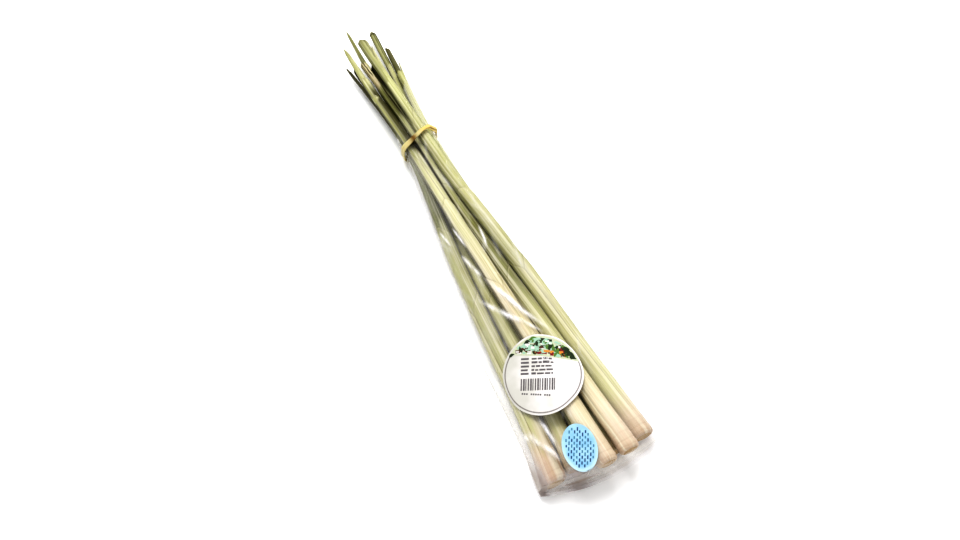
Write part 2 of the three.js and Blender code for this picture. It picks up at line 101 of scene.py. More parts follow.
SHEATH_ENDS, SHEATH_DRIFT = (0.42, 0.62, 0.8), 0.03  # shares of a stalk's length

# Cut leaves: where each leaves the stalk and ends, the way its back faces, half its opening angle
# at both places, its end radius, how slanted its end is and how much painted shade it has. Some also
# bend away, are darkened with painted shade (from a share of their length on), or have a dark rim,
# stripes, a blush or a side of painted shade that reaches further round. The dark second leaves of
# the outer left, front right and outer right stalks are painted shade, filling gaps that lie in shade.
LEAVES = {
    "stalk_outer_left": [
        dict(root=137.8, end=192.8, faces=0.9, open=(2.2, 1.5), radius=2.2, slant=7, shade=0.7,
             bend=(-0.6, 0), dark=0.85),
        dict(root=108.8, end=193.8, faces=2.9, open=(1.3, 0.45), radius=4.6, slant=15, shade=1,
             bend=(-1.4, 0.4), dark=0.9)],
    "stalk_inner_left": [
        dict(root=115.8, end=226.8, faces=1.6, open=(2.4, 1.3), radius=1.3, slant=12, shade=0.35,
             bend=(0, 1))],
    "stalk_front": [dict(root=147.8, end=207.8, faces=1.9, open=(2.3, 1.4), radius=1.4, slant=9, shade=0.1)],
    "stalk_front_right": [
        dict(root=157.8, end=186.8, faces=2.2, open=(1.1, 0.7), radius=4, slant=3, shade=0.1,
             bend=(-0.6, 0.9), blush=0.6, stripes=[(-0.5, 0.2, 1), (0.2, 0.14, 0.9), (0.75, 0.2, 0.9)]),
        dict(root=146.8, end=184.8, faces=-0.1, open=(1.3, 1), radius=5.4, slant=4, shade=1,
             bend=(0.8, -1.6), dark=1)],
    "stalk_outer_right": [
        dict(root=159.8, end=205.8, faces=1.6, open=(2.1, 1.5), radius=4.3, slant=4, shade=0.3,
             dark=0.1, reach=0.25, stripes=[(-0.28, 0.1, 0.6)]),
        dict(root=104.8, end=180.8, faces=-2, open=(1, 0.9), radius=7.2, slant=4, shade=0.6,
             dark=1, dark_from=0.5),
        dict(root=165.8, end=197.8, faces=0.2, open=(0.9, 0.7), radius=4, slant=5, shade=0, bend=(1.6, 0))],
    "stalk_back_left": [
        dict(root=153.8, end=219.8, faces=-1.4, open=(2.2, 1.3), radius=2.8, slant=5, shade=0.3,
             dark=0.1, rim=1, stripes=[(0.25, 0.12, 0.7)])],
    "stalk_back_right": [
        dict(root=143.8, end=195.8, faces=2.6, open=(2.1, 1.3), radius=2.4, slant=4, shade=0.8, dark=0.75),
        dict(root=137.8, end=177.8, faces=0.1, open=(1, 0.6), radius=3.2, slant=4, shade=0.1,
             bend=(0.6, -0.6))],
}
# Painted shade: how green and dark each stalk is on its left side, and the heights between which that grows.
SIDE_SHADE = {"stalk_outer_left": 1, "stalk_inner_left": 0.8, "stalk_front": 0.35, "stalk_front_right": 0.25,
         "stalk_outer_right": 0.9, "stalk_back_left": 0.6, "stalk_back_right": 0.8}
SIDE_SHADE_FROM = {"stalk_outer_right": (-110, -10)}
SIDE_SHADE_USUAL = (10, 110)


def smoothstep(v, low, high):
    t = np.clip((v - low) / (high - low), 0, 1)
    return t * t * (3 - 2 * t)


def bell(v, wide, power=2):
    """1 at 0, falling off smoothly on both sides within about wide."""
    return np.exp(-(v / wide) ** power)


def side_by_side(*values):
    """Arrays that are broadcast to one shape and stacked along a new last axis."""
    return np.stack(np.broadcast_arrays(*values), -1)


def directions(count):
    """Angles spaced evenly round a full turn."""
    return np.arange(count) * TURN / count


def running(chain):
    """How far along a chain of points each one lies."""
    return np.concatenate([[0], np.cumsum(np.hypot(*np.diff(chain, axis=0).T))])


def along(values, y):
    """Value at y of a smooth line through values given every STEP_Y."""
    v = np.asarray(values, float)
    v = np.concatenate([[2 * v[0] - v[1]], v, [2 * v[-1] - v[-2]]])
    t = np.clip((np.asarray(y, float) - FIRST_Y) / STEP_Y, 0, len(values) - 1)
    i = np.minimum(np.floor(t).astype(int), len(values) - 2)
    f = t - i
    a, b, c, d = v[i], v[i + 1], v[i + 2], v[i + 3]
    return 0.5 * (2 * b + (c - a) * f + (2 * a - 5 * b + 4 * c - d) * f ** 2
                  + (3 * b - a - 3 * c + d) * f ** 3)


def centre(s, y):
    return along(s["x"], y), along(s["z"], y)


def collars(s):
    """Where each outer sheath of a stalk ends."""
    shares = [k + SHEATH_DRIFT * math.sin(9 * s["lap"] + 20 * k) for k in SHEATH_ENDS]
    return [s["start"] + (s["cut"] - s["start"]) * k for k in shares]


def girth(s, y):
    up = np.maximum(0, np.asarray(y, float) - s["start"])
    return s["neck"] + (s["tip"] - s["neck"]) * up / GROWTH + s["swell"] * bell(up, BULB)


def radius(s, y):
    shed = sum((np.asarray(y) > c).astype(float) for c in collars(s))
    return girth(s, y) - shed * SHEATH_STEP


def gap_shading(name, points):
    """Painted shade between stalks: about 1 where a point nearly touches another stalk, and 0 where it is
    free.
    """
    x, y, z = np.moveaxis(points, -1, 0)
    reach = 1.1 + 0.4 * smoothstep(y, -60, 60)
    free = np.ones(x.shape)
    for other, s in STALKS.items():
        if other != name:
            cx, cz = centre(s, y)
            thick = radius(s, y)
            gap = np.hypot(x - cx, z - cz) - thick
            close = np.exp(-(np.maximum(gap, 0) / reach) ** 1.2)
            below = smoothstep(cz + thick - z, -0.5, 3)
            begun = smoothstep(y, s["start"] - 1, s["start"] + 2) * (y < s["cut"])
            free = free * (1 - close * below * begun)
    return 1 - free


def waves(seed, turns, lengths, count=7):
    """A smooth uneven field of angle and length, about -1 to 1, that closes round the stalk."""
    rng = np.random.default_rng(seed)
    parts = [(rng.integers(turns[0], turns[1] + 1), TURN / rng.uniform(*lengths) * rng.choice((-1, 1)),
              rng.uniform(0, TURN)) for _ in range(count)]
    return lambda angle, y: sum(np.cos(m * angle + k * y + p) for m, k, p in parts) / count ** 0.5


# ---- Where the stalks lie, found as for the solids ----
FILM, AIR = 0.4, 0.35
BAND_Y, BAND_TILT = 95.8, 0.2
LAST_REST, BAND_ROOM = 10.8, 3.3  # the film lies on the surface up to here, then rises over the band
SLACK_LOOSE, SLACK_TIGHT = 1.3, 1.15  # from a stalk to the inside of the film
FULL_LIFT = BAND_Y - 12
LAP_ROOM = 1.3 * SHEATH_EDGE  # kept free for the laps between two stalks
ROUNDS, FINISH = 500, 200
PULL, SINK, STIFF = 0.03, 0.02, 0.25


def near_band(y):
    return smoothstep(y, LAST_REST, FULL_LIFT)


def lift_at(y):
    return BAND_ROOM * near_band(y)


def slack_at(y):
    return SLACK_LOOSE + (SLACK_TIGHT - SLACK_LOOSE) * near_band(y)


def line_at(line, ys):
    """x and z of a smooth line (a centripetal Catmull-Rom curve) where it passes each of ys."""
    p = np.array(line, float)
    p = np.vstack([2 * p[0] - p[1], p, 2 * p[-1] - p[-2]])
    knots = np.linalg.norm(np.diff(p, axis=0), axis=1) ** 0.5
    f = np.linspace(0, 1, 200)[:, None]
    pieces = []
    for i in range(len(line) - 1):
        a, b, c, d = p[i:i + 4]
        before, here, after = knots[i:i + 3]
        leave = here * ((b - a) / before - (c - a) / (before + here)) + (c - b)
        arrive = here * ((d - c) / after - (d - b) / (here + after)) + (c - b)
        pieces.append(b + leave * f + (3 * (c - b) - 2 * leave - arrive) * f ** 2
                      + (2 * (b - c) + leave + arrive) * f ** 3)
    y, x, z = np.concatenate(pieces).T
    return np.interp(ys, y, x), np.interp(ys, y, z)


def settle():
    """Lets the laid stalks push each other apart, sink onto the film and straighten."""
    ys = FIRST_Y + STEP_Y * np.arange(STATIONS)
    wanted = np.array([line_at(s["line"], ys - LAID_Y) for s in STALKS.values()])
    thick = np.array([radius(s, ys) for s in STALKS.values()])
    floor = FILM + slack_at(ys) + lift_at(ys)
    places = wanted.copy()
    for turn in range(ROUNDS + FINISH):
        if turn < ROUNDS:
            places += PULL * (wanted - places)
            places[:, 1] -= SINK
            places[..., 1:-1] += STIFF * ((places[..., :-2] + places[..., 2:]) / 2 - places[..., 1:-1])
        for i, j in itertools.combinations(range(len(places)), 2):
            apart = places[j] - places[i]
            distance = np.hypot(*apart)
            short = np.maximum(thick[i] + thick[j] + AIR + LAP_ROOM - distance, 0)
            places[i] -= apart * short / 2 / distance
            places[j] += apart * short / 2 / distance
        places[:, 1] = np.maximum(places[:, 1], thick + floor)
    for s, (x, z) in zip(STALKS.values(), places):
        s["x"], s["z"] = x + LAID_X, z
        s["start"] -= s.pop("longer", 0)


settle()


# ---- Building meshes ----
def numbered(rows, columns):
    return np.arange(rows * columns).reshape(rows, columns)


def quads(index, wrap=False):
    """The faces between the rows of a grid of point numbers. wrap joins each row's ends."""
    ahead = np.roll(index, -1, 1)
    if not wrap:
        index, ahead = index[:, :-1], ahead[:, :-1]
    return np.stack([index[:-1], ahead[:-1], ahead[1:], index[1:]], -1).reshape(-1, 4)


class Form:
    """Sheets of points with values at each point, joined into one mesh."""

    def __init__(self):
        self.points, self.faces, self.slots, self.values, self.count = [], [], [], [], 0

    def sheet(self, points, slot=0, wrap=False, flip=False, start_fan=False, end_fan=False, **values):
        """Adds a sheet of rows of points. wrap joins each row's ends; a fan closes an end row."""
        size = points.shape[:2]
        index = numbered(*size) + self.count
        faces = quads(index, wrap)[:, ::-1 if flip else 1].tolist()
        grids = {k: np.broadcast_to(v, size + np.shape(v)[2:]) for k, v in values.items()}
        flat = {k: v.reshape((-1,) + v.shape[2:]) for k, v in grids.items()}
        self.points.append(points.reshape(-1, 3))
        self.count += size[0] * size[1]
        for row, wanted, turned in ((0, start_fan, not flip), (-1, end_fan, flip)):
            if wanted:
                ring = index[row].tolist()
                tris = [[p, q, self.count] for p, q in zip(ring, ring[1:] + ring[:1])]
                faces += [t[::-1] for t in tris] if turned else tris
                self.points.append(points[row].mean(0)[None])
                flat = {k: np.concatenate([v, grids[k][row].mean(0)[None]]) for k, v in flat.items()}
                self.count += 1
        self.faces += faces
        self.slots += [slot] * len(faces)
        self.values.append((self.count, flat))
        return self

    def mesh(self, name, materials, sharp=40):
        mesh = bpy.data.meshes.new(name)
        mesh.from_pydata((np.concatenate(self.points) * MM).tolist(), [], self.faces)
        for m in materials:
            mesh.materials.append(m)
        mesh.polygons.foreach_set("material_index", self.slots)
        mesh.shade_smooth()
        mesh.set_sharp_from_angle(angle=math.radians(sharp))
        for key in sorted({k for _, flat in self.values for k in flat}):
            kind, field, size = ("FLOAT_VECTOR", "vector", 3) if key == "grain" else ("FLOAT", "value", 1)
            data = np.zeros((self.count, size), np.float32)
            start = 0
            for end, flat in self.values:
                if key in flat:
                    data[start:end] = flat[key].reshape(-1, size)
                start = end
            mesh.attributes.new(key, kind, "POINT").data.foreach_set(field, data.ravel())
        mesh.validate()
        mesh.update()
        obj = bpy.data.objects.new(name, mesh)
        bpy.context.scene.collection.objects.link(obj)
        return obj


def polar(x, z, reach, angle, y):
    return side_by_side(x + reach * np.cos(angle), y, z + reach * np.sin(angle))


# ---- Stalks ----
CUT_LEAN, LEAN_REACH = 2.2, 7  # how far the cut top slopes, and how far down that is felt
SHEATH_SLANT = 24  # how far a sheath's upper edge slopes back from its lap
LAP_TWIST = 0.0035  # radians a millimetre
EDGE_OVER = 0.03  # rings this little past a collar still belong to the sheath that ends there
RIB_WIDE, RIB_HIGH = 1.7, 0.05
FLARE_HIGH, FLARE_REACH = 0.06, 12  # how a sheath widens towards its end
LUMP_HIGH = 0.1
FREE = 99  # stands for a gap where there is no edge
GRAIN_ROUND, GRAIN_APART = 9, 700  # radius of the grain's coordinates, and steps between the stalks
CHAMFER, CHAMFER_SLOPE = 0.9, 0.140625  # how far from the cut top a stalk narrows, and how fast
SCAR_DEEP, SCAR_WIDE = 0.14, 0.5
FOOT_UP = [0, 0.35, 0.8, 1.4, 2.2, 3.2, 4.5, 5.8, 7, 9, 11, 13]
FOOT_SCALE = [0.72, 0.83, 0.9, 0.95, 0.985, 1.008, 1.02, 1.008, 0.99, 0.987, 0.994, 1]
COLLAR_ROWS = (-6, -4.5, -3, -2, -1.2, -0.6, -0.2, 0, 0.06, 0.5, 1.2, 2, 3, 4.5, 6)
CUT_ROWS = (2.6, 1.8, 1.2, 0.9, 0.5, 0.1)
SCARS = [(3.4, 0.9), (7.6, 0.7), (13.5, 0.45), (21, 0.25)]  # rings round the bulb: height, strength
# The wrapped layers on the two ends: share of the radius and height over the cut.
FOOT_RINGS = [(1, 0), (0.93, 0.02), (0.9, 0.22), (0.81, 0.24), (0.78, 0), (0.67, 0.02), (0.64, 0.26),
              (0.52, 0.28), (0.49, 0.04), (0.33, 0), (0.3, 0.24), (0.12, 0.2)]
TOP_RINGS = [(1, 0), (0.95, 0.05), (0.83, 0), (0.8, -1.4), (0.74, -1.5), (0.71, -0.1), (0.55, 0.1),
             (0.52, -1.2), (0.46, -1.2), (0.43, 0), (0.22, 0.12), (0.06, 0.1)]
FIRST_SHARE, SHARE_LENGTH = -224, 450  # the heights at which the colours start, and their reach
LESS_GAP_SHADE = "stalk_inner_left"  # less painted gap shade near its foot, where the others leave it free
LEFT_WAY = 0.35  # the painted shaded sides face away from this direction
LEAD = 16  # a leaf begins this far below the place where it leaves its stalk
LEAF_OVER, LEAF_SUNK = 0.2, 0.75  # how high it stands there over the stalk, and how deep it begins
LEAF_ACROSS, LEAF_ALONG = 27, 34  # points across each of its sides, and rows past its root
# Painted shade: dark bands along a stalk where it lies in shade: from, to, direction they face, half width
# and strength.
PAINTED_SHADE_LINES = {
    "stalk_front": [(86, 160, 0.95, 1.15, 1), (-125, 186, 3, 0.42, 0.85), (20, 92, 0.3, 0.5, 0.6)],
    "stalk_front_right": [(122, 156, 0.9, 1.2, 0.9), (10, 100, 2.75, 0.45, 1)],
    "stalk_outer_right": [(110, 176, 2.9, 0.5, 0.5)],
}


def share_of(y):
    return (y - FIRST_SHARE) / SHARE_LENGTH


def away_from(angle, way):
    """The angle from one direction to another, from minus half a turn to half a turn."""
    return np.mod(angle - way + math.pi, TURN) - math.pi


def stalk_rows(s):
    """Places of the rings along a stalk, closer together at the foot, the collars and the cut."""
    edges = collars(s)
    rows = [s["start"] + up for up in [0, 0.35, 0.8, *np.arange(1.4, 24, 0.55)]]
    rows += [y for y in np.arange(s["start"] + 25, s["cut"] - 3.5, 2)
             if min(abs(y - c) for c in edges) > 6.6]
    rows += [c + d for c in edges for d in COLLAR_ROWS]
    rows += [s["cut"] - d for d in CUT_ROWS]
    return np.array(sorted(rows))


def stalk_side(name, s, seed, around):
    """Points of a stalk's side and the values that its finish reads."""
    edges = collars(s)
    rows = stalk_rows(s)[:, None]
    phi = directions(around)[None]
    theta = s["lap"] + (rows - s["start"]) * LAP_TWIST + phi
    layer = sum((rows > c + EDGE_OVER).astype(float) for c in edges)
    lumps = waves(seed, (1, 3), (40, 130))
    ragged = waves(seed + 1, (2, 6), (60, 200))
    wander = waves(seed + 2, (1, 4), (50, 160))
    lean = CUT_LEAN * np.sin(theta) + 0.5 * ragged(phi, 40 * s["cut"])
    lean = lean * bell(rows - s["cut"], LEAN_REACH)
    for n, c in enumerate(edges):
        away = np.abs(away_from(phi, n * math.pi)) / math.pi  # 0 at the lap, 1 behind it
        slant = SHEATH_SLANT * (0.5 - (1 - away) ** 1.6) + 0.7 * ragged(phi, 40 * c)
        lean = lean + slant * bell(rows - c, 1.15 * SHEATH_SLANT)
    y = rows + lean
    up = rows - s["start"]

    past = np.mod(phi - np.where(layer % 2 == 0, 0, math.pi), TURN) / TURN  # share of a turn past the lap
    past = np.where(np.isclose(past, 1), 0, past)
    rise = np.where(past == 0, 0, SHEATH_EDGE * (1 - past) ** 1.4)
    flare = sum(FLARE_HIGH * np.exp(-np.maximum(c - rows, 0) / 1.6)
                * (rows <= c + EDGE_OVER) * (rows > c - FLARE_REACH) for c in edges)
    ribs_round = int(round(TURN * s["neck"] / RIB_WIDE))
    ribs = RIB_HIGH * np.cos(ribs_round * phi + 0.9 * wander(phi, y)) * smoothstep(up, 8, 60)
    scar = sum(k * bell(up - at - 0.5 * np.sin(theta + at) - 0.25 * ragged(phi, 9 * at), SCAR_WIDE)
               for at, k in SCARS) * smoothstep(up, 0.5, 2)
    top = s["cut"] - rows
    scale = np.interp(up, FOOT_UP, FOOT_SCALE)
    scale = scale * np.where(top < CHAMFER, 1 - (CHAMFER - top) * CHAMFER_SLOPE, 1)
    reach = (girth(s, rows) - layer * SHEATH_STEP + rise + flare + ribs + LUMP_HIGH * lumps(phi, y)) * scale
    reach = reach - SCAR_DEEP * scar
    points = polar(*centre(s, y), reach, theta, y)

    lip = past * TURN * reach  # distance past the lap's edge, over the outer sheath
    before = (1 - past) * TURN * reach
    below_edge = np.minimum.reduce([np.where(rows <= c + EDGE_OVER, c - rows, FREE) for c in edges])
    above_edge = np.minimum.reduce([np.where(rows > c + EDGE_OVER, rows - c, FREE) for c in edges])
    body = smoothstep(up, 10, 40)
    # painted shade in dark bands along the stalk
    lines = sum(k * bell(away_from(theta, at), wide, 4)
                * smoothstep(y, low - 8, low + 8) * (1 - smoothstep(y, high - 8, high + 8))
                for low, high, at, wide, k in PAINTED_SHADE_LINES.get(name, []))
    gap_shade_eased = 1 - 0.6 * (name == LESS_GAP_SHADE) * smoothstep(-y, 140, 165)
    gap_shade_by_height = 0.2 + 0.3 * smoothstep(y, -140, -60) + 0.4 * smoothstep(y, 20, 110)
    side_shade_grown = smoothstep(y, *SIDE_SHADE_FROM.get(name, SIDE_SHADE_USUAL))
    values = dict(
        # painted shade: darker where another stalk is near, and in the dark bands
        dark=lines, crowd=gap_shading(name, points) * gap_shade_eased * gap_shade_by_height,
        # painted shade on the left side
        shady=SIDE_SHADE[name] * smoothstep(-np.cos(theta - LEFT_WAY), 0, 0.95) * side_shade_grown,
        grain=side_by_side(GRAIN_ROUND * np.cos(phi), y + GRAIN_APART * seed, GRAIN_ROUND * np.sin(phi)),
        share=share_of(y), up=up, layer=layer / len(edges),
        margin=np.maximum(np.where(past > 0, np.exp(-lip / 0.7), 0) * body, 0.55 * np.exp(-below_edge / 0.8)),
        # painted shade on the inner layer beside each lap's edge and just above each sheath's end
        under=np.maximum(np.where(past == 0, 1, np.exp(-before / 0.5)) * body, np.exp(-above_edge / 0.9)),
        scar=scar, cutting=np.exp(-top / 1.5))
    return points, values, theta


def stalk_ends(form, points, theta, seed):
    """The trimmed foot and the cut top, with the wrapped layers showing as rings."""
    wobble = waves(seed + 5, (1, 4), (50, 100))
    for row, rings in ((0, FOOT_RINGS), (-1, TOP_RINGS)):
        rim, angle = points[row], theta[row]
        middle = rim.mean(0)
        sheets = []
        for share, height in rings:
            drift = 1 + 0.05 * wobble(angle, 80 * share) * (1 - share) * 2
            p = middle + (rim - middle) * (share * drift)[:, None]
            p[:, 1] += height + 0.06 * wobble(angle, 300 * share)
            sheets.append(p)
        shares, heights = np.array(rings).T[..., None]
        form.sheet(np.array(sheets), slot=1, wrap=True, flip=row == 0, end_fan=True, ring=shares,
                   # deep: how far a ring is sunk, darkened as painted shade
                   foot=float(row == 0), deep=np.abs(heights), grain=np.array(sheets) + [0, 50 * seed, 0])


def leaf(form, name, s, shape, seed):
    """A cut leaf: a trough that grows out of its sheath, opens and ends in a slanted cut."""
    rng = np.random.default_rng(seed)
    a = np.linspace(-1, 1, LEAF_ACROSS)
    a = np.sign(a) * (1 - (1 - np.abs(a)) ** 1.15)
    aside = np.abs(a)
    peak = rng.uniform(-0.35, 0.35)
    ragged = waves(seed + 3, (1, 5), (3, 9))
    curl = waves(seed + 7, (1, 2), (25, 70))
    finish = shape["end"] - shape["slant"] * (np.abs(a - peak) / (1 + abs(peak))) ** 1.3
    finish = finish - 0.35 * np.abs(ragged(a * 3, 0))
    base = shape["root"]
    lead = np.linspace(-LEAD, 0, 7)[:-1]
    y = np.concatenate([np.repeat(base + lead[:, None], len(a), 1),
                        base + (finish[None] - base) * np.linspace(0, 1, LEAF_ALONG)[:, None]])
    share = np.clip((y - base) / (shape["end"] - base), 0, 1)
    root = float(radius(s, base)) + LEAF_OVER
    emerging = np.clip((base - y) / LEAD, 0, 1)
    outer = np.where(y < base, radius(s, y) + LEAF_OVER - LEAF_SUNK * emerging ** 1.2,
                     root + (shape["radius"] - root) * share)
    half = shape["open"][0] + (shape["open"][1] - shape["open"][0]) * share
    angle = shape["faces"] + half * a
    bent = [c + by * share ** 2 for c, by in zip(centre(s, y), shape.get("bend", (0, 0)))]
    keel = 0.12 * bell(a, 0.13) * smoothstep(share, 0.1, 0.5)
    vein = 0.035 * np.cos(15 * half * a * 2)
    outer = outer + keel + vein + 0.12 * curl(a, y) * smoothstep(share, 0.1, 0.6)
    thick = (0.26 + 0.5 * (1 - aside ** 2.4)) * (1 - 0.3 * share)
    outside = polar(*bent, outer, angle, y)
    inside = polar(*bent, np.maximum(outer - thick, 0.3), angle, y)
    points = np.concatenate([outside, inside[:, ::-1]], 1)

    width = half * outer
    further = shape.get("reach", 0)
    # painted shade on the leaf's left side
    left = smoothstep(-np.cos(angle - LEFT_WAY), -further, 0.95 - further) * SIDE_SHADE[name]
    rim = shape.get("rim", 0) * np.exp(-(1 - aside) * width / 1.1)
    # painted shade over the leaf, with its dark rim and stripes
    begun = smoothstep(share - shape.get("dark_from", 0), 0, 0.25)
    dark = np.maximum(shape.get("dark", 0) * begun, rim)
    for at, half_wide, strength in shape.get("stripes", []):
        stripe = strength * bell(a - at - 0.05 * ragged(0 * a, y), half_wide, 4)
        dark = np.maximum(dark, stripe * smoothstep(share, 0.35, 0.55))
    mirrored = dict(  # the same on the inside
        grain=side_by_side(width * a, y + GRAIN_APART * seed, outer), share=share_of(y), up=y - s["start"],
        margin=np.exp(-(1 - aside) * width / 0.45), cutting=np.exp(-(finish[None] - y) / 1.6),
        shady=left, dark=dark)
    form.sheet(
        points, wrap=True, flip=True, start_fan=True, end_fan=True,
        **{k: np.concatenate([v, v[:, ::-1]], 1) for k, v in mirrored.items()},
        # painted shade where the leaf nears another stalk
        inside=np.concatenate([0 * y, 0 * y + 1], 1), crowd=0.6 * gap_shading(name, points),
        layer=0.9, shade=shape["shade"], blush=shape.get("blush", 0))
    return outside[-1]


def hair(form, start, direction, length, thick, bend):
    """A frayed fibre."""
    steps = np.linspace(0, 1, 6)
    way = direction / np.linalg.norm(direction)
    side = np.cross(way, (0.3, 0.2, 1))
    side = side / np.linalg.norm(side)
    other = np.cross(way, side)
    line = start + np.outer(steps, way) * length + np.outer(steps ** 2, side) * bend
    around = directions(4)
    ring = np.outer(np.cos(around), side) + np.outer(np.sin(around), other)
    points = line[:, None] + ring[None] * (thick * (1 - 0.75 * steps))[:, None, None]
    form.sheet(points, slot=1, wrap=True, start_fan=True, end_fan=True, ring=0.8, grain=points)


def frays(form, rim, seed, count, splay):
    rng = np.random.default_rng(seed)
    for _ in range(count):
        p = rim[rng.integers(len(rim))]
        way = np.array([rng.normal(0, splay), 1, rng.normal(0, splay) + 0.05])
        hair(form, p - way * 0.4, way, rng.uniform(0.8, 2.6), rng.uniform(0.05, 0.1), rng.normal(0, 0.3))


# ---- Film sleeve ----
SEAL_EDGE, SEAL_ROOT, WALL_TOP = -226.8, -223.8, -222.9
SEAL_MIDDLE, SEAL_BOW, SEAL_HEIGHT = 3.38, 0.0036, 5  # the seal bows about its middle
# Rows from the flat seal into the end wall: y, and share of the way from flat to round.
SEAL_ROWS = ((SEAL_EDGE, 0), (-226.2, 0), (-225.4, 0), (-224.6, 0), (SEAL_ROOT, 0), (-223.65, 0.12),
             (-223.5, 0.28), (-223.35, 0.46), (-223.2, 0.64), (-223.08, 0.8), (-222.98, 0.92))
SEAM_ROW = 7  # the row where the end wall turns into the top
FOOT_Y, LAST_BOW = -214.2, -154.2  # where the sides start to bulge, and where the rows are straight again
CREASE_HEIGHT, CREASE_FOOT = 6, 3
OPENING = 60  # the side creases fold away over this length below the band
CREASE_OUT, LEFT_OUT, RIGHT_OUT = 1.2, 5.5, 3  # how far they stand out, and how much further midway
MOUTH_LEFT, MOUTH_RIGHT, MOUTH_HALF, MOUTH_X = 105.8, 159.8, 16, -0.62
MOUTH_FLARE = 2.4
STRAIGHT_TO, MOUTH_ROWS = BAND_Y + 6, 34  # past here the rows slant towards the mouth
OVER, UNDER = 230, 70  # points round the film, over the stalks and under them
OUTLINE_WAYS = 360
film_y = np.concatenate([np.arange(WALL_TOP, -214, 0.7), np.arange(-213, 60, 2.2), np.arange(60, 168, 1.5)])


def bow_at(y):
    return SEAL_BOW * float(np.clip((LAST_BOW - y) / 60, 0, 1))


def bowed(x, y, bow):
    return y + bow * (x - SEAL_MIDDLE) ** 2


def film_outline(y, offset):
    """Outline of the film at y, pulled tight round the stalks and the two side creases."""
    grow = slack_at(y) + offset
    lift = float(lift_at(y))
    circles = []
    for s in STALKS.values():
        own = bowed(float(along(s["x"], y)), y, bow_at(y))
        circles.append((*map(float, centre(s, own)), float(radius(s, own)) + grow))
    cx, cz, cr = np.array(circles).T
    opened = np.clip((BAND_Y - y) / OPENING, 0, 1)
    middle = math.sin(math.pi * np.clip((y - FOOT_Y) / (BAND_Y - FOOT_Y), 0, 1))
    flare = MOUTH_FLARE * np.clip((y - BAND_Y - 10) / 40, 0, 1)
    left, right = (cx - cr).min(), (cx + cr).max()
    floor = FILM - offset + lift
    cx = np.append(cx, [left - opened * (CREASE_OUT + LEFT_OUT * middle),
                        right + opened * (CREASE_OUT + RIGHT_OUT * middle) + flare,
                        left + CREASE_FOOT, right - CREASE_FOOT])
    cz = np.append(cz, [CREASE_HEIGHT + lift] * 2 + [floor] * 2)
    cr = np.append(cr, [0] * 4)
    angle = directions(OUTLINE_WAYS)
    ux, uz = np.cos(angle), np.sin(angle)
    far = np.argmax(np.outer(ux, cx) + np.outer(uz, cz) + cr, 1)
    return np.stack([cx[far] + cr[far] * ux, np.maximum(cz[far] + cr[far] * uz, floor)], -1)


def spread(chain, count, curve_share=0.45):
    """Points along a chain, closer together where it curves."""
    keep = [0] + [i for i in range(1, len(chain)) if np.hypot(*(chain[i] - chain[i - 1])) > 1e-3]
    chain = chain[keep]
    steps = np.hypot(*np.diff(chain, axis=0).T)
    run = np.cumsum((1 - curve_share) * steps / steps.sum() + curve_share / len(steps))
    run = np.concatenate([[0], run])
    goal = np.arange(count) / count
    return np.stack([np.interp(goal, run, c) for c in chain.T], -1)


def film_ring(y):
    outline = film_outline(y, FILM / 2)
    half = len(outline) // 2
    under = np.concatenate([outline[half:], outline[:1]])
    return np.concatenate([spread(outline[:half + 1], OVER), spread(under, UNDER)])


film_rings = np.array([film_ring(y) for y in film_y])  # stations, points round, x and z


def ring_at(y):
    """x and z of the film's outline, read for each point round it at its own y."""
    return [np.array([np.interp(v, film_y, film_rings[:, i, k]) for i, v in enumerate(y)]) for k in (0, 1)]


def film_grid():
    """The smooth film as rows of points, from the seal's edge to the slanted mouth."""
    first = film_rings[0]
    n = np.arange(OVER + UNDER)
    across = np.where(n < OVER, n / OVER, 1 + (n - OVER) / UNDER)
    side = np.where(across % 1 == 0, 0, np.sign(1 - across))
    ends = first[0, 0], first[OVER, 0]
    flat = np.stack([ends[0] + (ends[1] - ends[0]) * np.where(across < 1, across, 2 - across),
                     SEAL_HEIGHT + side * 0.12], -1)
    straight = film_y[film_y < STRAIGHT_TO]
    rings = [(y, (flat + (first - flat) * mixed).T, SEAL_BOW) for y, mixed in SEAL_ROWS]
    rings += [(y, ring.T, bow_at(y)) for y, ring in zip(straight, film_rings)]
    rows = [side_by_side(x, bowed(x, y, bow), z) for y, (x, z), bow in rings]
    slope = (MOUTH_RIGHT - MOUTH_LEFT) / (2 * MOUTH_HALF)
    middle = (MOUTH_LEFT + MOUTH_RIGHT) / 2
    mouth = np.full(OVER + UNDER, middle)
    for _ in range(6):
        mouth = np.maximum(middle + slope * (ring_at(mouth)[0] - MOUTH_X), straight[-1] + 1.2)
    for t in np.linspace(0, 1, MOUTH_ROWS)[1:]:
        y = straight[-1] + (mouth - straight[-1]) * t
        x, z = ring_at(y)
        rows.append(side_by_side(x, y, z))
    return np.array(rows)


film_points = film_grid()

# Height of the smooth film's top over the plan, for what is stuck on it.
smooth_tree = BVHTree.FromPolygons(film_points.reshape(-1, 3).tolist(),
                                   quads(numbered(*film_points.shape[:2])).tolist())


def film_top(x, y):
    hit = smooth_tree.ray_cast(Vector((x, y, 100)), Vector((0, 0, -1)))[0]
    return hit.z if hit else CREASE_HEIGHT


plan_x, plan_y = np.arange(-50, 50.01, 0.5), np.arange(-224, -95, 1.0)
plan_z = np.array([[film_top(x, y) for x in plan_x] for y in plan_y])


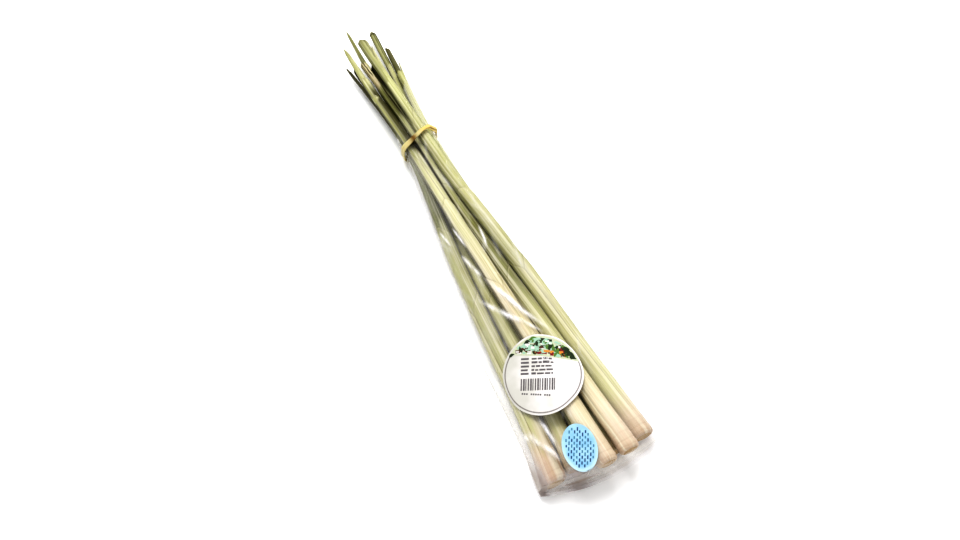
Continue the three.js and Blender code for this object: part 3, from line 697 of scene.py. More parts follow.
def on_film(x0, u, y, lift):
    """Points at arc length u across from x0 on the film's top, at y, raised by lift."""
    u, y = np.broadcast_arrays(np.asarray(u, float), np.asarray(y, float))
    out = []
    for arc, v in zip(u.ravel(), y.ravel()):
        k = np.clip((v - plan_y[0]) / (plan_y[1] - plan_y[0]), 0, len(plan_y) - 1.001)
        i = int(k)
        row = plan_z[i] * (1 - k + i) + plan_z[i + 1] * (k - i)
        run = running(np.stack([plan_x, row], -1))
        x = np.interp(np.interp(x0, plan_x, run) + arc, run, plan_x)
        out.append((x, v, np.interp(x, plan_x, row) + FILM / 2 + lift))
    return np.array(out).reshape(u.shape + (3,))


# ---- Papers' places ----
LABEL = dict(x=-10.12, y=-138.2, across=32, along=32, turn=0, thick=0.35)
STICKER = dict(x=-13.12, y=-202.7, across=13, along=18.8, turn=-0.2, thick=0.3)
PAPER_LIFT = AIR + 0.75  # from the smooth film to a paper's underside


def turned(u, v, angle):
    return u * math.cos(angle) - v * math.sin(angle), u * math.sin(angle) + v * math.cos(angle)


def paper_place(paper, share, angle, lift):
    """Points of an oval paper, at a share of its radius and an angle, on the film."""
    u, v = turned(paper["across"] * share * np.cos(angle), paper["along"] * share * np.sin(angle),
                  paper["turn"])
    return on_film(paper["x"], u, paper["y"] + v, lift)


def paper_cover(paper, x, y):
    """About 1 under the paper and 0 a few millimetres outside it."""
    u, v = turned(x - paper["x"], y - paper["y"], -paper["turn"])
    share = np.hypot(u / paper["across"], v / paper["along"])
    return 1 - smoothstep((share - 1) * paper["across"], -1, 4)


# ---- The film's folds ----
# Folds that catch the light, and also get painted highlights: points in plan, height and width.
FOLDS = [
    (((-23.2, 12), (-22.4, 4), (-21.4, -4)), 0.4, 0.7),
    (((-14.6, 6), (-13.6, -4), (-12.6, -14)), 0.4, 0.8),
    (((-18, -18), (-16, -30), (-12.8, -44)), 0.7, 1.2),
    (((4, -3), (3, -14), (1.5, -24)), 0.5, 0.9),
    (((-13, -44), (-5, -68), (1, -86), (11.7, -106.7)), 0.9, 1.8),
    (((-23, -58), (-15, -75), (-5, -91), (6, -107)), 0.8, 1.6),
    (((-42, -171), (-38.4, -177), (-34.6, -185)), 0.5, 2.6),
    (((-41.4, -172), (-37.4, -179.4), (-34.4, -186), (-31.2, -193), (-28.6, -204)), 0.9, 1.7),
    (((-28, -166), (-26.6, -176), (-25.6, -200)), 0.7, 1.3),
]
WRINKLES, WRINKLE_SEED = 70, 41  # small folds strewn over the film
# Gathers at the band: how many, height, seed, turns and lengths of their waver, and how much of it.
GATHERS = [(23, 0.55, 3, (0, 2), (60, 140), 1.6), (41, 0.22, 5, (0, 3), (40, 90), 2)]
GATHER_REACH, BAND_PRESS = 26, 4
# Pleats in the end wall: how many, height, from where on, and where the other folds have grown to full.
PLEATS, PLEAT_HIGH, PLEATS_FROM, FOLDS_FROM, FOLDS_FULL = 34, 0.12, -222.5, -222, -190
PAPER_BED = 0.95  # the film stands out evenly by this much under the papers
OVER_FLOOR = 0.05
# Painted shadow in patches of the film at its foot: strength, x, half width, and how far down they begin and
# are full.
FILM_SHADOWS = [(0.7, -22, 13, 209, 219), (0.7, -48, 4, 180, 205)]


def fold_shape(x, y, line, width):
    """A rounded fold along a line in plan, 1 high at its middle and thin at its ends."""
    best = np.full(x.shape, 1e9)
    place = np.zeros(x.shape)
    line = np.asarray(line, float)
    for i, (p, q) in enumerate(zip(line, line[1:])):
        way = q - p
        t = np.clip(((x - p[0]) * way[0] + (y - p[1]) * way[1]) / (way @ way), 0, 1)
        d = np.hypot(x - p[0] - t * way[0], y - p[1] - t * way[1])
        place = np.where(d < best, (i + t) / (len(line) - 1), place)
        best = np.minimum(d, best)
    taper = np.sqrt(np.clip(np.sin(math.pi * np.clip(place, 0.02, 0.98)), 0, 1))
    return taper * bell(best, width * (0.5 + 0.5 * taper))


def wrinkles(x, y, top):
    """Small folds strewn over the film: each one's shape and height."""
    rng = np.random.default_rng(WRINKLE_SEED)
    for _ in range(WRINKLES):
        over = rng.random() < 0.72
        cy = rng.uniform(-205, 88)
        row = x[int(np.argmin(np.abs(y[:, 0] - cy)))]
        cx = rng.uniform(row.min() + 4, row.max() - 4)
        length, tilt = rng.uniform(8, 34), rng.normal(0, 0.28) - 0.06 * np.sign(cx)
        dx, dy = length * math.sin(tilt), length * math.cos(tilt)
        line = ((cx - dx / 2, cy - dy / 2), (cx + rng.normal(0, 1), cy), (cx + dx / 2, cy + dy / 2))
        height, width = rng.uniform(0.12, 0.45), rng.uniform(0.7, 1.6)
        yield np.where(top == over, fold_shape(x, y, line, width), 0), height


def creased(points):
    """The film with its folds, its gathers at the band and its slack between the stalks."""
    x, y, z = np.moveaxis(points, -1, 0)
    wx, _, wz = np.moveaxis(np.roll(points, -1, 1) - np.roll(points, 1, 1), -1, 0)
    size = np.maximum(np.hypot(wx, wz), 1e-6)
    nx, nz = wz / size, -wx / size  # the way out of the film
    top = np.arange(points.shape[1])[None] < OVER
    step = np.hypot(np.diff(x, axis=1, append=x[:, :1]), np.diff(z, axis=1, append=z[:, :1]))
    run = np.cumsum(step, 1) - step
    turn = TURN * run / (run[:, -1:] + step[:, -1:])

    shapes = [np.where(top, fold_shape(x, y, line, width), 0) for line, _, width in FOLDS]
    out = sum(height * shape for shape, (_, height, _) in zip(shapes, FOLDS))
    # how much painted highlight each point's folds get
    crease = np.max(shapes, 0)
    for shape, height in wrinkles(x, y, top):
        out = out + height * shape
        crease = np.maximum(crease, shape * (height - 0.1))
    gathered = 0
    for count, height, seed, turns, lengths, waver in GATHERS:
        gather = 0.5 + 0.5 * np.cos(count * turn + waver * waves(seed, turns, lengths)(turn, y))
        gathered = gathered + height * gather ** 2
    near = np.exp(-np.abs(y - BAND_Y) / GATHER_REACH)
    out = out + gathered * near * (1 - 0.6 * bell(y - BAND_Y - BAND_TILT * x, BAND_PRESS))
    loose = smoothstep(y, STRAIGHT_TO, 150)
    out = out + loose * (0.7 * np.cos(5 * turn + 0.4) + 0.5 * np.cos(9 * turn + 2 + y / 14)) * 0.8
    bend = waves(9, (1, 5), (50, 160))
    out = out + 0.22 * (1 + bend(turn, y)) * (y > SEAL_ROOT + 3)
    pleats = PLEAT_HIGH * np.cos(PLEATS * turn) ** 2 * (y > PLEATS_FROM)
    out = np.where(y < FOLDS_FULL, out * smoothstep(y, FOLDS_FROM, FOLDS_FULL) + pleats, out)
    paper = np.maximum(paper_cover(LABEL, x, y), paper_cover(STICKER, x, y)) * top
    out = out * (1 - paper) + PAPER_BED * paper
    raised = np.where(top, 1, smoothstep(z - lift_at(y), 0.8, 4))
    out = out * raised - 0.45 * np.minimum(out, 1.2) * (1 - raised)
    wall = (y < WALL_TOP + 5) & (z > SEAL_HEIGHT + 0.5)
    moved = points + np.stack([nx * out, -0.2 * np.cos(0.9 * x) ** 2 * wall, nz * out], -1)
    moved[..., 2] = np.maximum(moved[..., 2], OVER_FLOOR)
    return moved, turn, crease * (1 - paper)


def film_haze_and_shadow(points):
    """How hazy the film looks on its loose sides, with painted glare on its right side and a painted
    highlight along a crest, and how much painted shadow it has at its foot and left edge, with a dark line
    along its seam.
    """
    x, y = points[..., 0], points[..., 1]
    left, right = x.min(1, keepdims=True), x.max(1, keepdims=True)
    crest = along(STALKS["stalk_outer_right"]["x"], y) - 0.8
    # haze on the loose sides, with painted glare on the right side; then a painted highlight along a crest
    veil = 0.16 * np.exp(-(x - left) / 9) + 0.1 * np.exp(-(right - x) / 5)
    veil = veil + 0.2 * bell(x - crest, 2.2) * smoothstep(y, -112, -80) * smoothstep(-y, -55, 10)
    veil = veil + 0.1 * bell(x + 24, 12) * smoothstep(y, -200, -100) * smoothstep(-y, -50, 10)
    # painted shadow at the foot and along the left edge, and a dark line along the seam
    dusk = sum(k * bell(x - at, wide) * smoothstep(-y, begun, full) for k, at, wide, begun, full in FILM_SHADOWS)
    dusk = dusk + 0.35 * np.exp(-(x - left) / 2) * smoothstep(-y, 90, 140)
    seam = (np.arange(len(points)) == SEAM_ROW)[:, None] * (np.arange(points.shape[1]) < OVER)
    dusk = dusk + seam * smoothstep(x, -37, -31) * (0.5 - 0.2 * smoothstep(x, -2, 8))
    return veil * smoothstep(-y, -110, -60), dusk


# ---- Rubber band ----
BAND_WIDE, BAND_THICK, BAND_SPREAD, BAND_LIFT = 2.8, 1.2, 2, 0.8
BAND_START = 8 / 30  # share of a turn, as in the solid
BAND_STEPS, BAND_SIDES = 300, 20  # rings to a turn, and points round the band
GAP_X, GAP_WIDE = -7.5, 2.8  # where the band spans the gap between the stalks, which gets painted shadow


def squarish(v):
    return np.sign(v) * np.abs(v) ** 0.55


def band_form():
    """One endless loop wound twice round the film. Its two runs cross under and over each other."""
    outline = film_outline(BAND_Y, FILM + AIR + BAND_LIFT + BAND_THICK / 2)
    path = spread(np.concatenate([outline, outline[:1]]), BAND_STEPS)
    for _ in range(6):
        path = (np.roll(path, 1, 0) + 2 * path + np.roll(path, -1, 0)) / 4
    way = np.roll(path, -1, 0) - np.roll(path, 1, 0)
    way /= np.hypot(*way.T)[:, None]
    path, way = np.tile(path, (2, 1)), np.tile(way, (2, 1))
    half = math.pi * (np.arange(2 * BAND_STEPS)[:, None] / BAND_STEPS + BAND_START)
    a = ((np.arange(BAND_SIDES) + 0.5) * TURN / BAND_SIDES)[None]
    wide = BAND_WIDE / 2 * (1 + 0.05 * waves(12, (1, 6), (50, 90))(half, 0))
    roll = 0.1 * waves(13, (1, 3), (50, 90))(half, 0)
    c, t = squarish(np.cos(a)) * wide, squarish(np.sin(a)) * BAND_THICK / 2
    out = BAND_LIFT * np.sin(half) + t * np.cos(roll) + c * np.sin(roll)
    aside = BAND_SPREAD * np.cos(half) + c * np.cos(roll) - t * np.sin(roll)
    (px, pz), (wx, wz) = path.T[..., None], way.T[..., None]
    x, z = px + out * wz, pz - out * wx
    y = BAND_Y + BAND_TILT * (px - MOUTH_X) + aside
    run = running(path)[:, None]
    form = Form()
    form.sheet(side_by_side(x, y, z), wrap=True, grain=side_by_side(run, c, t),
               # painted shadow over the gap, and a painted highlight towards the right end
               brown=bell(x - GAP_X, GAP_WIDE) * (z > 14), bright=0.75 * smoothstep(x, -2, 4))
    closing = quads(numbered(*x.shape)[[-1, 0]], wrap=True).tolist()
    form.faces += closing
    form.slots += [0] * len(closing)
    return form


# ---- Papers and their print ----
PRINT = 0.05  # how far the print stands off the paper
PRINT_TURN = math.radians(-30.6)  # the print runs this way in plan
PRINT_SEED, DASH_SEED = 77, 5
CAP_LOW, CAP_SLOPE, CAP_RADIUS = 13.6, -0.075, 30.6  # the printed strip across the label's top
CAP_SHAPES = 270  # leaves and blocks tried on it
BAR_ROWS, BAR_HIGH, BARS_LEFT, BARS_MIDDLE, BARS_RIGHT = (11.2, 8.3, 5.4, 2.5, -0.3), 1.5, -17.2, -8.6, 8.6
STRIPES, STRIPE_STEP, STRIPE_WIDE, STRIPE_SPAN = 15, 1.9, (1, 1.35, 0.8), (-12.6, -3.4)
DOTS, DOT_STEP, DOT_SIZE, NO_DOT = 13, 1.8, (1.2, 1.3), (3, 9)
DASH_COLUMN, DASH_ROW, DASH_WIDE = 2.05, 4.3, 1
# The strip's large leaves: place, length, width and direction.
CAP_LEAVES = [(18.2, 17.6, 7, 3.6, -0.35), (20.4, 14, 5.8, 2.8, -0.1), (14.4, 20.2, 6.4, 3.2, 0.15),
              (-27, 13.8, 5, 2.2, 0.5)]
INKS = {
    "dark_green": ((38, 58, 30), (54, 74, 38)), "mint": ((176, 214, 190), (190, 222, 200)),
    "orange": ((226, 150, 60), (234, 166, 80)), "red": ((140, 34, 44), (156, 46, 52)),
    "leaf_green": ((96, 136, 62), (116, 152, 78)), "grey": ((110, 106, 108), (134, 130, 130)),
    "white": ((240, 238, 232), (250, 248, 244)), "brown": ((92, 56, 42), (116, 76, 56)),
    "sage": ((208, 214, 184), (224, 228, 204)),
}
STICKER_INKS = {"navy": ((46, 78, 124), (62, 96, 140)), "teal": ((82, 132, 162), (98, 146, 172))}
DARK, MINT, ORANGE, RED, LEAF, GREY, WHITE, BROWN, GROUND = range(len(INKS))


def paper_form(paper, rings=26, round_steps=144):
    """An oval paper on the film, with a rounded edge."""
    share = np.linspace(0.001, 1, rings)[:, None]
    edge = np.array([[1], [0.97]])
    angle = directions(round_steps)[None]
    top = paper_place(paper, share, angle, PAPER_LIFT + paper["thick"])
    top[-1] -= [0, 0, 0.05]
    low = paper_place(paper, edge, angle, PAPER_LIFT)
    ring = np.concatenate([share, edge])[::-1]
    u, v = ring * paper["across"] * np.cos(angle), ring * paper["along"] * np.sin(angle)
    return Form().sheet(
        np.concatenate([top, low])[::-1], wrap=True, end_fan=True, start_fan=True, ring=ring,
        # across grades the label's painted shade from left to right
        grain=side_by_side(u, v, 0), across=ring * np.cos(angle + paper["turn"] + 0.35),
        low=-ring * np.sin(angle + paper["turn"] + 0.5))


def print_place(paper, u, v, lift=PRINT):
    """Print coordinates on a paper, in millimetres from its centre, as points on it."""
    u, v = turned(u, v, PRINT_TURN)
    return on_film(paper["x"], u, paper["y"] + v, PAPER_LIFT + paper["thick"] + lift)


def patch(form, paper, u0, v0, u1, v1, slot, lift=PRINT):
    """A printed rectangle."""
    nu, nv = (max(2, int(abs(size) / 1.2) + 1) for size in (u1 - u0, v1 - v0))
    form.sheet(print_place(paper, *np.meshgrid(np.linspace(u0, u1, nu), np.linspace(v0, v1, nv)), lift),
               slot=slot)


def blade(form, u, v, length, width, way, slot, lift):
    """A leaf shape printed on the label."""
    t = np.linspace(0.02, 0.98, 12)[:, None]
    half = width / 2 * np.sin(math.pi * t ** 0.8) * np.linspace(-1, 1, 7)[None]
    a, b = turned(t * length, half + 0.12 * length * np.sin(math.pi * t), way)
    form.sheet(print_place(LABEL, u + a, v + b, lift), slot=slot)


def in_cap(u, v):
    return v > CAP_LOW + CAP_SLOPE * u + 0.6 and math.hypot(u, v) < CAP_RADIUS - 1.4


def leaf_inks(u, v):
    if u > 15:
        return DARK, DARK, LEAF
    return (DARK, LEAF, MINT, MINT) if v > 23 else (DARK, BROWN, LEAF, MINT)


def block_inks(u, v):
    if 3 < u < 17 and v < 19.5:
        return ORANGE, ORANGE, RED, BROWN
    if -10 < u <= 3 and v < 18:
        return RED, ORANGE, BROWN, MINT
    return (BROWN, BROWN, MINT, WHITE) if u <= -10 and v < 18 else (MINT, WHITE, MINT, DARK)


def pick(rng, inks):
    return inks[rng.integers(len(inks))]


def print_cap(form):
    """The strip's ground, with generic leaves and small blocks scattered over it."""
    u = np.linspace(-27.6, 27.9, 60)[None]
    low = CAP_LOW + CAP_SLOPE * u
    high = np.maximum(np.sqrt(CAP_RADIUS ** 2 - u ** 2), low + 0.05)
    form.sheet(print_place(LABEL, u, low + (high - low) * np.linspace(0, 1, 16)[:, None]), slot=GROUND)
    rng = np.random.default_rng(PRINT_SEED)
    placed = 0
    while placed < CAP_SHAPES:
        u, v = rng.uniform(-28, 28), rng.uniform(11, 30.5)
        if not in_cap(u, v):
            continue
        placed += 1
        lift = PRINT + 0.02 + 0.0006 * placed
        if rng.random() < (0.85 if u > 17 else 0.4):
            way, length = rng.uniform(-0.6, 2.6), rng.uniform(3.4, 7)
            if in_cap(u + length * math.cos(way), v + length * math.sin(way)):
                ink = pick(rng, leaf_inks(u, v))
                blade(form, u, v, length, length * 0.42, way, ink, lift)
        else:
            wide, tall = rng.uniform(1.4, 4.2), rng.uniform(1, 2.3)
            if in_cap(u + wide, v + tall) and in_cap(u, v + tall):
                patch(form, LABEL, u, v, u + wide, v + tall, pick(rng, block_inks(u, v)), lift)
    for n, big_leaf in enumerate(CAP_LEAVES):
        blade(form, *big_leaf, DARK, PRINT + 0.2 + 0.002 * n)


def print_label(form):
    """A generic farm label: a leafy strip over blocks of plain bars. It says nothing."""
    print_cap(form)
    rng = np.random.default_rng(PRINT_SEED)
    # Two columns of short bars in place of words.
    for v in BAR_ROWS:
        patch(form, LABEL, BARS_LEFT, v, BARS_LEFT + rng.uniform(4.8, 6.8), v + BAR_HIGH, GREY)
        u = BARS_MIDDLE
        for _ in range(4):
            wide = rng.uniform(2.2, 5.6)
            patch(form, LABEL, u, v, min(u + wide, BARS_RIGHT), v + rng.uniform(1.2, 1.9), GREY)
            u += wide + 0.8
            if u > BARS_RIGHT - 1.1:
                break
    # An even block of stripes and a line of dots under it.
    low, high = STRIPE_SPAN
    for k in range(STRIPES):
        u = -17 + STRIPE_STEP * k
        patch(form, LABEL, u, low, u + STRIPE_WIDE[k % len(STRIPE_WIDE)], high, GREY)
    for k in range(DOTS):
        if k not in NO_DOT:
            u, v = -16 + DOT_STEP * k, -15.6 - 0.14 * k
            patch(form, LABEL, u, v, u + DOT_SIZE[0], v + DOT_SIZE[1], GREY)


def print_sticker(form):
    """A lattice of short upright dashes."""
    rng = np.random.default_rng(DASH_SEED)
    for column in range(-7, 8):
        for row in range(-5, 6):
            u = DASH_COLUMN * column + rng.uniform(-0.15, 0.15)
            v = DASH_ROW * (row + 0.5 * (column % 2)) - 1
            a, b = turned(u, v, PRINT_TURN - STICKER["turn"])
            if math.hypot(a / STICKER["across"], b / STICKER["along"]) < 0.82 and rng.random() < 0.93:
                tall = rng.uniform(1.9, 2.9)
                patch(form, STICKER, u - DASH_WIDE / 2, v - tall / 2, u + DASH_WIDE / 2, v + tall / 2,
                      int(rng.random() < 0.45))


# ---- Finishes ----
def srgb(colour, tone=1):
    """A colour given as three numbers up to 255, made linear and toned down."""
    shares = [c / 255 for c in colour]
    return (*(tone * (c / 12.92 if c <= 0.04045 else ((c + 0.055) / 1.055) ** 2.4) for c in shares), 1)


NOISE_LOW, NOISE_HIGH = 0.3, 0.7  # where most of a noise lies


class Look:
    """A material's node tree, built from the surface shader backwards."""

    def __init__(self, name, tone=1):
        self.tone = tone
        self.material = bpy.data.materials.new(name)
        self.material.use_nodes = True
        self.tree = self.material.node_tree
        self.tree.nodes.clear()
        self.output = self.node("OutputMaterial")
        self.shader = self.node("BsdfPrincipled")
        self.feed(self.output, Surface=self.shader.outputs[0])

    def node(self, kind, **settings):
        n = self.tree.nodes.new("ShaderNode" + kind)
        for k, v in settings.items():
            setattr(n, k, v)
        return n

    def put(self, socket, value):
        """Puts in a value, a link, or by its name a value that the mesh carries."""
        if isinstance(value, str):
            value = self.node("Attribute", attribute_name=value).outputs["Fac"]
        if isinstance(value, bpy.types.NodeSocket):
            self.tree.links.new(value, socket)
        else:
            socket.default_value = value

    def feed(self, node, **inputs):
        """Puts a value or a link into each named input of a node."""
        for k, v in inputs.items():
            self.put(node.inputs[k.replace("_", " ")], v)
        return node

    def line_up(self, node, *values):
        """Puts values into a node's inputs in their order."""
        for socket, v in zip(node.inputs, values):
            self.put(socket, v)
        return node.outputs[0]

    def grain(self, stretch, scale, detail=3, rough=0.6):
        """Noise over the grain coordinates, drawn out where stretch is under 1."""
        grain = self.node("Attribute", attribute_name="grain").outputs["Vector"]
        place = self.feed(self.node("Mapping"), Vector=grain, Scale=stretch).outputs[0]
        noise = self.feed(self.node("TexNoise"), Vector=place, Scale=scale, Detail=detail, Roughness=rough)
        return noise.outputs["Fac"]

    def math(self, operation, *values, clamp=False):
        return self.line_up(self.node("Math", operation=operation, use_clamp=clamp), *values)

    def times(self, a, b):
        return self.math("MULTIPLY", a, b)

    def plus(self, a, b, clamp=False):
        return self.math("ADD", a, b, clamp=clamp)

    def swing(self, noise, by):
        """A noise about 0 in place of 0.5, times by."""
        return self.times(self.math("SUBTRACT", noise, 0.5), by)

    def span(self, value, low, high, to_low=0, to_high=1):
        n = self.node("MapRange", interpolation_type="SMOOTHSTEP")
        return self.line_up(n, value, low, high, to_low, to_high)

    def ramp(self, value, stops):
        n = self.feed(self.node("ValToRGB"), Fac=value)
        bar = n.color_ramp.elements
        while len(bar) < len(stops):
            bar.new(0.5)
        for e, (at, colour) in zip(bar, stops):
            e.position = at
            e.color = srgb(colour, self.tone)
        return n.outputs["Color"]

    def mix(self, share, a, b, blend="MIX"):
        n = self.node("Mix", data_type="RGBA", blend_type=blend)
        self.put(n.inputs[0], share)
        tone = self.tone if blend == "MIX" else 1
        for socket, v in ((n.inputs[6], a), (n.inputs[7], b)):
            self.put(socket, srgb(v, tone) if isinstance(v, tuple) else v)
        return n.outputs[2]

    def over(self, colour, *layers):
        """The colour with layers over it: for each its share, its colour and perhaps its way to blend."""
        for share, *layer in layers:
            colour = self.mix(share, colour, *layer)
        return colour

    def relief(self, height, distance, strength, *shaders):
        bump = self.feed(self.node("Bump"), Distance=distance, Strength=strength, Height=height)
        for shader in shaders:
            self.feed(shader, Normal=bump.outputs[0])

    def finish(self, colour, noise, rough, relief=None, height=None, **inputs):
        """Gives the surface its colour, a roughness that varies with a noise, and its relief."""
        self.feed(self.shader, Base_Color=colour, **inputs,
                  Roughness=self.span(noise, NOISE_LOW, NOISE_HIGH, *rough))
        if relief:
            self.relief(noise if height is None else height, *relief, self.shader)
        return self.material


# The tones of a lemongrass stalk, and where along each stalk, foot to top, they stand. The dark, moss
# and olive stops of the two left stalks and the front right one, and the leaf stop at 0.68 on the front
# stalk, are painted shade where those stalks lie in shade.
TONES = {
    "scar": (182, 152, 128), "tan": (206, 182, 156), "blush": (226, 209, 186), "cream": (238, 225, 196),
    "ivory": (233, 229, 190), "pale": (220, 217, 172), "straw": (205, 202, 152), "leaf": (188, 186, 138),
    "sage": (149, 148, 108), "olive": (120, 117, 62), "moss": (88, 86, 48), "dark": (58, 56, 32),
}
PALETTES = {
    "stalk_front":
        "0 tan, 0.02 blush, 0.1 cream, 0.36 cream, 0.5 ivory, 0.62 ivory, 0.68 leaf, 0.74 straw, "
        "0.85 straw, 0.92 leaf, 1 sage",
    "stalk_front_right":
        "0 tan, 0.03 blush, 0.1 cream, 0.22 pale, 0.3 leaf, 0.37 sage, 0.5 olive, 0.58 leaf, 0.63 ivory, "
        "0.75 ivory, 0.79 olive, 0.84 olive, 0.88 straw, 1 tan",
    "stalk_outer_right":
        "0 scar, 0.04 tan, 0.07 blush, 0.13 pale, 0.21 pale, 0.27 straw, 0.34 straw, 0.42 leaf, "
        "0.5 straw, 0.62 straw, 0.78 pale, 0.92 pale, 1 sage",
    "stalk_outer_left":
        "0 scar, 0.07 tan, 0.13 straw, 0.3 leaf, 0.51 leaf, 0.56 moss, 0.75 moss, 0.86 dark, 1 dark",
    "stalk_inner_left":
        "0 tan, 0.05 blush, 0.11 pale, 0.3 pale, 0.36 straw, 0.43 pale, 0.5 olive, 0.57 dark, 0.69 dark, "
        "0.76 olive, 0.86 olive, 0.92 sage, 1 sage",
    "stalk_back_left":
        "0 scar, 0.1 straw, 0.5 leaf, 0.8 pale, 0.93 pale, 1 sage",
    "stalk_back_right":
        "0 scar, 0.1 straw, 0.5 leaf, 0.8 pale, 0.9 straw, 1 sage",
}
EVEN = (1, 1, 1)  # a grain that isn't drawn out
PAPER_RELIEF, PAPER_SHEEN = (0.00006, 0.5), 0.3
INK_SPOTS = 1400  # to a metre, roughly


def stalk_look(name, palette, green):
    """Fresh leaf sheath: fibres along the stalk, paler margins, stained scars and dry nicks, with painted
    shade between the stalks, beside the laps, on the left sides and in dark bands.
    """
    k = Look(name, tone=0.8)
    fibre = k.grain((1, 0.022, 1), 1.15)
    fine = k.grain((1, 0.012, 1), 3.2, 2, 0.5)
    streak = k.grain((1, 0.008, 1), 0.3, 2, 0.5)
    patchy = k.grain((1, 0.45, 1), 0.06, 3, 0.55)
    stain = k.grain((1, 0.1, 1), 0.5, 4, 0.65)
    nick = k.grain((1, 0.28, 1), 1.6, 1, 0.4)
    grown = k.span("up", 12, 110, 0.25, 1)  # the foot is smoother
    rosy = k.times(k.span("up", 46, 2, 0, 0.14), k.span(streak, 0.35, 0.6))
    rough_share = k.span(fibre, 0.75, 0.3, 0.8, 1)
    share = k.plus(k.plus("share", k.swing(streak, 0.09)), k.swing(patchy, 0.06), clamp=True)
    colour = k.over(
        k.ramp(share, [(float(at), TONES[tone]) for at, tone in map(str.split, palette.split(","))]),
        (k.times(k.span(streak, 0.5, 0.66), k.times(grown, green)), (168, 174, 108)),
        (k.times(k.span(streak, 0.5, 0.34), 0.5), (250, 246, 224)),
        (k.times("layer", 0.2), (190, 196, 134)),
        (k.times("shade", k.span(fibre, 0.35, 0.7, 0.5, 1)), (128, 130, 78)),
        (k.times("inside", 0.35), (214, 214, 168)),
        (k.times(k.span(fibre, 0.6, 0.38, 0, 0.4), grown), (182, 174, 136), "MULTIPLY"),
        (k.span(fine, 0.55, 0.75, 0, 0.25), (255, 251, 234)),
        (k.times(k.span(stain, 0.66, 0.78, 0, 0.4), grown), (150, 126, 84)),
        (k.times(k.span(nick, 0.76, 0.8), 0.55), (122, 92, 56)),
        (k.math("MAXIMUM", rosy, k.times("blush", 0.4)), (208, 168, 146)),
        (k.times("scar", 0.22), (160, 124, 96)),
        (k.times("margin", k.span(stain, 0.35, 0.6, 0.35, 0.8)), (242, 232, 196)),
        (k.times("cutting", 0.65), (128, 122, 90)),
        # painted shade beside the laps and above the sheath ends
        (k.times("under", 0.55), (110, 98, 60), "MULTIPLY"),
        # painted shade on the left sides
        (k.times("shady", k.span(fibre, 0.7, 0.35, 0.5, 0.85)), (96, 98, 48)),
        # painted shade between the stalks
        (k.times("crowd", rough_share), (84, 80, 16)),
        # painted shade: the dark bands along the stalks and the darkened leaves
        (k.times("dark", rough_share), (54, 50, 10)))
    return k.finish(colour, fibre, (0.36, 0.56), (0.00025, 0.55), k.plus(fibre, k.times(fine, 0.5)),
                    Specular_IOR_Level=0.28)


def cut_look():
    """Trimmed ends: pale wrapped layers with browned edges, with painted shade where the layers are sunk."""
    k = Look("cut_layers", tone=0.85)
    pores = k.grain(EVEN, 1.8)
    rings = k.math("SINE", k.times("ring", 40))
    colour = k.over(
        k.mix(k.span(rings, -0.6, 0.9), (206, 180, 132), (234, 222, 176)),
        (k.span(pores, 0.5, 0.66, 0, 0.6), (150, 112, 72)),
        (k.times("foot", 0.55), (168, 128, 92)),
        # painted shade in the sunk layers
        (k.span("deep", 0.1, 0.9, 0, 0.8), (84, 66, 34)))
    return k.finish(colour, pores, (0.6, 0.85), (0.0004, 0.7))


def film_look():
    """Thin clear film: mostly see-through, glossy, a little milky, with painted highlights along its creases,
    painted glare and a painted highlight on its right, and painted shadow at its foot and left edge.
    """
    k = Look("clear_film")
    edge = k.math("POWER", k.feed(k.node("LayerWeight"), Blend=0.5).outputs["Facing"], 3)
    haze = k.grain((1, 0.25, 1), 0.16)
    torn = k.grain((0.8, 0.14, 0.8), 0.35)
    clear = k.feed(k.node("BsdfTransparent"), Color=(0.98, 0.979, 0.984, 1))
    gloss = k.feed(k.node("BsdfGlossy"), Color=(1, 0.98, 0.9, 1),
                   Roughness=k.span(haze, 0.35, 0.7, 0.07, 0.15))
    # painted shadow, brownish, at the film's foot and left edge
    k.feed(k.shader, Base_Color=k.mix("dusk", (247, 245, 247), (114, 92, 80)), Roughness=0.4)
    milky = k.plus(k.span(haze, 0.4, 0.72, 0, 0.03), k.times(edge, 0.12))
    # haze, with painted glare and a painted highlight
    milky = k.plus(milky, k.times("veil", k.span(haze, 0.3, 0.65, 0.4, 1)))
    # the painted shadow also makes the film less clear there
    milky = k.plus(milky, k.times("dusk", 0.7))
    # painted highlights along the creases
    milky = k.plus(milky, k.times("crease", k.span(torn, 0.34, 0.62, 0.25, 0.8)), clamp=True)
    body = k.line_up(k.node("MixShader"), milky, clear.outputs[0], k.shader.outputs[0])
    shine = k.plus(0.02, k.times(edge, 0.5), clamp=True)
    k.feed(k.output, Surface=k.line_up(k.node("MixShader"), shine, body, gloss.outputs[0]))
    k.relief(k.grain((1, 0.16, 1), 0.35, 3, 0.55), 0.0006, 0.3, gloss, k.shader)
    return k.material


def band_look():
    """Thin natural rubber, straw coloured, with painted shadow where it spans the gap between the stalks and
    a painted highlight towards its right end.
    """
    k = Look("amber_rubber", tone=0.86)
    wave, speck = k.grain((0.12, 1.2, 1), 1), k.grain(EVEN, 3, 2)
    colour = k.over(
        k.mix(k.span(wave, 0.35, 0.65), (198, 186, 134), (210, 198, 148)),
        # painted highlight towards the right end
        ("bright", (226, 198, 112)),
        (k.span(speck, 0.6, 0.75, 0, 0.4), (184, 160, 104)),
        # painted shadow where the band spans the gap
        ("brown", (116, 86, 26)))
    return k.finish(colour, wave, (0.42, 0.6), (0.0002, 0.6), k.plus(wave, k.times(speck, 0.4)),
                    Subsurface_Weight=0.15, Subsurface_Radius=(0.002, 0.001, 0.0004), Subsurface_Scale=0.6)


